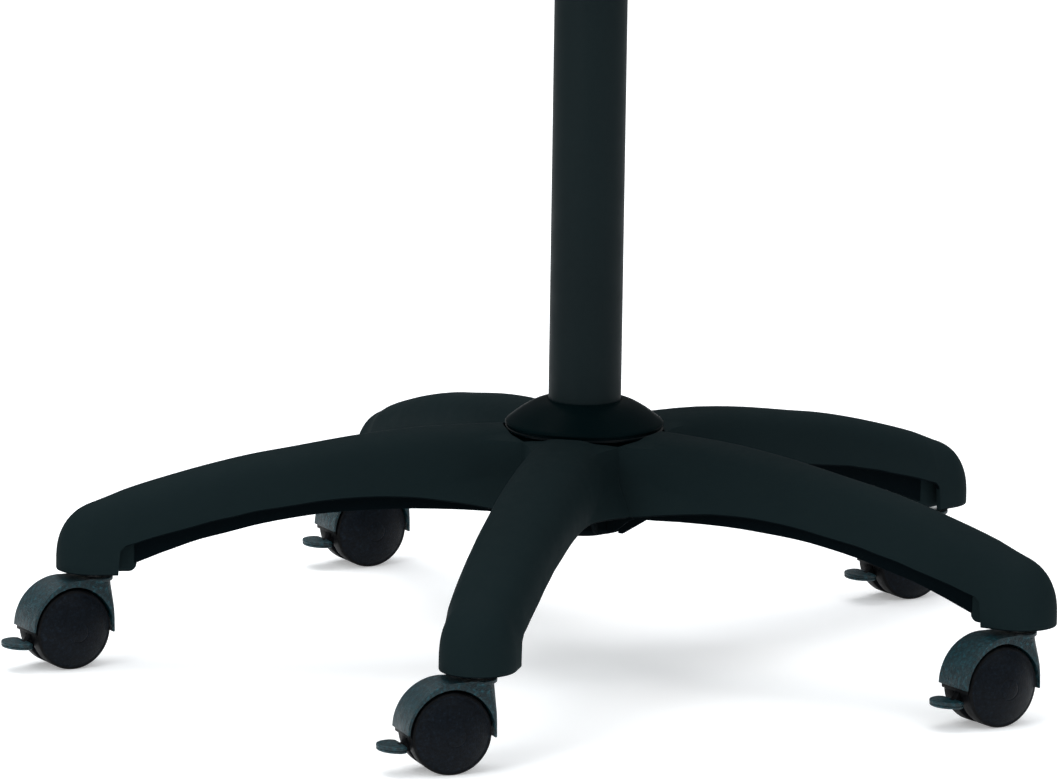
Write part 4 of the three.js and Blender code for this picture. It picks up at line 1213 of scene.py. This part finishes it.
def build_cushion():
    o = cushion_start()
    o.name = "seat_cushion_form"
    m = o.modifiers.new("remesh", "REMESH")
    m.mode = "VOXEL"
    m.voxel_size = 0.0055
    apply_modifiers(o)
    rest = np.array([v.co[:] for v in o.data.vertices], float)
    r = np.hypot(rest[:, 0], rest[:, 1])
    # held where the cover is pulled under the pan, and along the two sewn seams of the side band
    hold = np.zeros(len(rest))
    hold[(rest[:, 2] < 0.5935) & (r < 0.1755)] = 1.0
    for zs, rs in ((0.6405, 0.1735), (0.5865, 0.1765)):
        d = np.hypot(r - rs, rest[:, 2] - zs)
        hold = np.maximum(hold, np.clip(1.0 - d / 0.006, 0, 1) * 0.9)
    vg = o.vertex_groups.new(name="hold")
    for i, w in enumerate(hold):
        if w > 0.02:
            vg.add([i], float(w), "REPLACE")
    cl = o.modifiers.new("cloth", "CLOTH")
    s = cl.settings
    s.quality = 6
    s.mass = 0.4
    s.tension_stiffness = 18
    s.compression_stiffness = 12
    s.shear_stiffness = 6
    s.bending_stiffness = 1.2
    s.use_pressure = True
    s.uniform_pressure_force = 5.0
    s.vertex_group_mass = "hold"
    s.pin_stiffness = 1.0
    s.effector_weights.gravity = 0.0
    cl.collision_settings.use_collision = False
    cl.collision_settings.use_self_collision = False
    scene = bpy.context.scene
    cl.point_cache.frame_start = 1
    cl.point_cache.frame_end = 20
    for f in range(1, 21):
        scene.frame_set(f)
    apply_modifiers(o)
    scene.frame_set(1)
    o.vertex_groups.clear()
    now = np.array([v.co[:] for v in o.data.vertices], float)
    if len(now) == len(rest):
        move = now - rest
        length = np.linalg.norm(move, axis=1, keepdims=True)
        cap = 0.009
        move = np.where(length > cap, move * cap / np.maximum(length, 1e-9), move)
        # nothing swells down into the pan or inwards past it
        move[rest[:, 2] < 0.5925] *= 0.0
        now = rest + move
    # soft pull-downs: the cover is drawn in a little at the top seam
    rr = np.hypot(now[:, 0], now[:, 1])
    ang = np.arctan2(now[:, 1], now[:, 0])
    seam = np.exp(-(((rr - 0.1735) / 0.004) ** 2) - (((now[:, 2] - 0.6405) / 0.004) ** 2))
    wave = 0.5 + 0.5 * np.sin(ang * 46 + 1.3 * np.sin(ang * 5))
    near = np.exp(-(((now[:, 2] - 0.640) / 0.012) ** 2)) * (rr > 0.15)
    pull = 0.0011 * seam + 0.00035 * near * wave
    inward = np.stack([now[:, 0] / np.maximum(rr, 1e-6), now[:, 1] / np.maximum(rr, 1e-6), np.zeros_like(rr)], 1)
    now = now - inward * pull[:, None]
    # slow unevenness of foam and cover on top
    top = (now[:, 2] > 0.645).astype(float)
    now[:, 2] += top * 0.0006 * (np.sin(now[:, 0] * 41 + 0.7) * np.cos(now[:, 1] * 37 - 0.4) + 0.5 * np.sin(now[:, 0] * 83 + now[:, 1] * 71))
    now[:, 2] = np.minimum(now[:, 2], 0.6595)
    for v, c in zip(o.data.vertices, now):
        v.co = c
    o.data.update()
    m = o.modifiers.new("soft", "SUBSURF")
    m.levels = m.render_levels = 1
    apply_modifiers(o)
    o.data.materials.clear()
    o.data.materials.append(MATS["vinyl"])
    finish_shading(o, 180)
    return o, now


def tube_ring(name, centre_r, centre_z, tube, mat, wobble=0.0, segs=360, around=10, lump=0.0, lumps=0):
    verts, faces = [], []
    for i in range(segs):
        t = 2 * math.pi * i / segs
        w = tube * (1 + lump * math.sin(t * lumps))
        cr = centre_r + wobble * math.sin(t * 5 + 0.4) + 0.5 * wobble * math.sin(t * 11)
        cz = centre_z + wobble * math.cos(t * 4)
        for j in range(around):
            b = 2 * math.pi * j / around
            verts.append(((cr + w * math.cos(b)) * math.cos(t), (cr + w * math.cos(b)) * math.sin(t), cz + w * math.sin(b)))
    for i in range(segs):
        for j in range(around):
            faces.append((i * around + j, ((i + 1) % segs) * around + j, ((i + 1) % segs) * around + (j + 1) % around, i * around + (j + 1) % around))
    return mesh_object(name, verts, faces, mat, 60)


cushion, cushion_points = build_cushion()
place(cushion, "seat", "seat_cushion")


def cushion_radius(z, dz=0.004):
    """How far out the finished side band is at that height."""
    near = np.abs(cushion_points[:, 2] - z * MM) < dz
    return float(np.median(np.hypot(cushion_points[near, 0], cushion_points[near, 1])) / MM) if near.any() else 176.0


# piping along the top seam, and a row of stitches beside it
top_seam_r = cushion_radius(640.5, 0.003)
piping = tube_ring("seat_piping", top_seam_r + 0.6, 640.6, 2.1, "vinyl", wobble=0.15, segs=400, lump=0.03, lumps=140)
place(piping, "seat")


def stitches(name, zc, length, gap, thick):
    """Separate raised stitches that follow the side band."""
    rows_, faces = [], []
    r0 = cushion_radius(zc, 0.003)
    count = int(2 * math.pi * r0 / (length + gap))
    for i in range(count):
        t0 = 2 * math.pi * i / count
        span = length / r0
        base = len(rows_)
        steps = 5
        for s in range(steps):
            u = s / (steps - 1)
            t = t0 + span * u
            rise = math.sin(math.pi * u) * thick * 0.9
            w = thick * (0.55 + 0.45 * math.sin(math.pi * u))
            for j in range(6):
                b = 2 * math.pi * j / 6
                rr = r0 + rise - 0.1 + w * math.cos(b)
                rows_.append((rr * math.cos(t), rr * math.sin(t), zc + w * math.sin(b)))
        for s in range(steps - 1):
            for j in range(6):
                k = (j + 1) % 6
                faces.append((base + s * 6 + j, base + (s + 1) * 6 + j, base + (s + 1) * 6 + k, base + s * 6 + k))
        faces.append(tuple(base + j for j in range(6)))
        faces.append(tuple(base + (steps - 1) * 6 + j for j in reversed(range(6))))
    return mesh_object(name, rows_, faces, "thread", 60)


place(stitches("seat_stitches", 633.6, 3.6, 1.5, 0.42), "seat")


# the cover's hem, drawn under the pan and stapled there
def build_hem():
    """A thin pleated ring of cover under the pan's edge."""
    segs, rows_ = 288, [(171.5, 579.6), (168.6, 578.5), (164.5, 577.6), (158.0, 577.35), (152.0, 577.3), (150.2, 577.5)]
    verts, faces = [], []
    for side in (0, 1):
        for ri, (r, z) in enumerate(rows_):
            for i in range(segs):
                t = 2 * math.pi * i / segs
                ease = min(1.0, ri / 2.0)
                fold = ease * (0.28 * math.sin(t * 34) + 0.18 * math.sin(t * 57 + 1.0))
                edge = 1.2 * math.sin(t * 9 + 0.5) + 0.9 * math.sin(t * 23) if ri >= 4 else 0.0
                zz = z + fold - 0.3 + (0.65 if side else 0.0)
                verts.append(((r + edge) * math.cos(t), (r + edge) * math.sin(t), min(zz, 578.15) if ri > 1 else zz))
    R_ = len(rows_)
    for side in (0, 1):
        off = side * R_ * segs
        for ri in range(R_ - 1):
            for i in range(segs):
                k = (i + 1) % segs
                faces.append((off + ri * segs + i, off + ri * segs + k, off + (ri + 1) * segs + k, off + (ri + 1) * segs + i))
    for ri in (0, R_ - 1):
        for i in range(segs):
            k = (i + 1) % segs
            faces.append((ri * segs + i, ri * segs + k, R_ * segs + ri * segs + k, R_ * segs + ri * segs + i))
    hem = mesh_object("seat_hem", verts, faces, "vinyl", 70)
    staples = []
    for i in range(40):
        t = 2 * math.pi * (i + 0.5) / 40 + 0.02 * math.sin(i * 2.4)
        r = 156.0 + 0.9 * math.sin(i * 1.7)
        loops = []
        for x, z in ((-5.0, 578.0), (-5.0, 576.9), (-4.6, 576.55), (4.6, 576.55), (5.0, 576.9), (5.0, 578.0)):
            loops.append([(x, -0.5, z), (x, 0.5, z), (x * 0.9, 0.5, z + 0.45), (x * 0.9, -0.5, z + 0.45)])
        s = loft("staple", loops, "zinc", 30)
        s.data.transform(Matrix.Rotation(t, 4, "Z") @ Matrix.Translation((r * MM, 0, 0)) @ Matrix.Rotation(math.pi / 2 + 0.12 * math.sin(i * 3.1), 4, "Z"))
        staples.append(s)
    return hem, join("seat_staples", staples)


hem, staples = build_hem()
place(hem, "seat")
place(staples, "seat")

# ---------------------------------------------------------------- stage, light, camera
verts = [(-9, -9, 0), (9, -9, 0), (9, 9, 0), (-9, 9, 0)]
bm = bmesh.new()
bmesh.ops.create_grid(bm, x_segments=24, y_segments=24, size=14.0)
floor_mesh = bpy.data.meshes.new("studio_floor")
bm.to_mesh(floor_mesh)
bm.free()
floor_mesh.materials.append(MATS["floor"])
floor = bpy.data.objects.new("studio_floor", floor_mesh)
bpy.context.scene.collection.objects.link(floor)

world = bpy.data.worlds.new("studio")
bpy.context.scene.world = world
world.use_nodes = True
bg = world.node_tree.nodes["Background"]
bg.inputs["Strength"].default_value = 0.75
# an even overhead softbox: bright above, falling off towards the horizon
sky_at = world.node_tree.nodes.new("ShaderNodeTexCoord")
sky_z = world.node_tree.nodes.new("ShaderNodeSeparateXYZ")
sky_ramp = world.node_tree.nodes.new("ShaderNodeValToRGB")
world.node_tree.links.new(sky_at.outputs["Generated"], sky_z.inputs["Vector"])
world.node_tree.links.new(sky_z.outputs["Z"], sky_ramp.inputs["Fac"])
world.node_tree.links.new(sky_ramp.outputs["Color"], bg.inputs["Color"])
sky_ramp.color_ramp.elements[0].position, sky_ramp.color_ramp.elements[0].color = 0.10, (0.16, 0.165, 0.17, 1)
sky_ramp.color_ramp.elements[1].position, sky_ramp.color_ramp.elements[1].color = 0.95, (1.25, 1.29, 1.33, 1)
mid_sky = sky_ramp.color_ramp.elements.new(0.45)
mid_sky.color = (0.62, 0.64, 0.66, 1)


def area(name, loc, target, size, power, colour=(1, 1, 1)):
    d = bpy.data.lights.new(name, "AREA")
    d.shape = "RECTANGLE"
    d.size, d.size_y = size
    d.energy = power
    d.color = colour
    o = bpy.data.objects.new(name, d)
    bpy.context.scene.collection.objects.link(o)
    o.location = loc
    o.rotation_euler = (Vector(target) - Vector(loc)).to_track_quat("-Z", "Y").to_euler()
    return o


area("key_left", (-2.2, -2.6, 2.0), (0, 0, 0.1), (1.5, 1.5), 50, (0.97, 1.0, 1.0))
area("fill_right", (2.4, -2.0, 2.4), (0, 0, 0.2), (2.2, 2.0), 20, (0.96, 0.98, 1.0))
area("overhead", (-0.3, 0.5, 3.6), (0, 0, 0.1), (3.0, 3.0), 100)

cam_data = bpy.data.cameras.new("camera")
cam = bpy.data.objects.new("camera", cam_data)
bpy.context.scene.collection.objects.link(cam)
CAM_POS = (0.0, -5.33, 1.2195)
PITCH, YAW, ROLL, FOCAL_PX = 11.144, -0.367, 0.85, 8726.0
cam_data.sensor_fit = "HORIZONTAL"
cam_data.sensor_width = 36.0
cam_data.lens = FOCAL_PX * 36.0 / 1060.0
cam_data.clip_end = 60.0
fw = Vector((math.sin(rad(YAW)) * math.cos(rad(PITCH)), math.cos(rad(YAW)) * math.cos(rad(PITCH)), -math.sin(rad(PITCH))))
rt = Vector((math.cos(rad(YAW)), -math.sin(rad(YAW)), 0.0))
up = rt.cross(fw)
c, s = math.cos(rad(ROLL)), math.sin(rad(ROLL))
rt2, up2 = rt * c + up * s, up * c - rt * s
cam.matrix_world = Matrix(
    (
        (rt2.x, up2.x, -fw.x, CAM_POS[0]),
        (rt2.y, up2.y, -fw.y, CAM_POS[1]),
        (rt2.z, up2.z, -fw.z, CAM_POS[2]),
        (0, 0, 0, 1),
    )
)
bpy.context.scene.camera = cam
bpy.context.scene.view_settings.view_transform = "Standard"
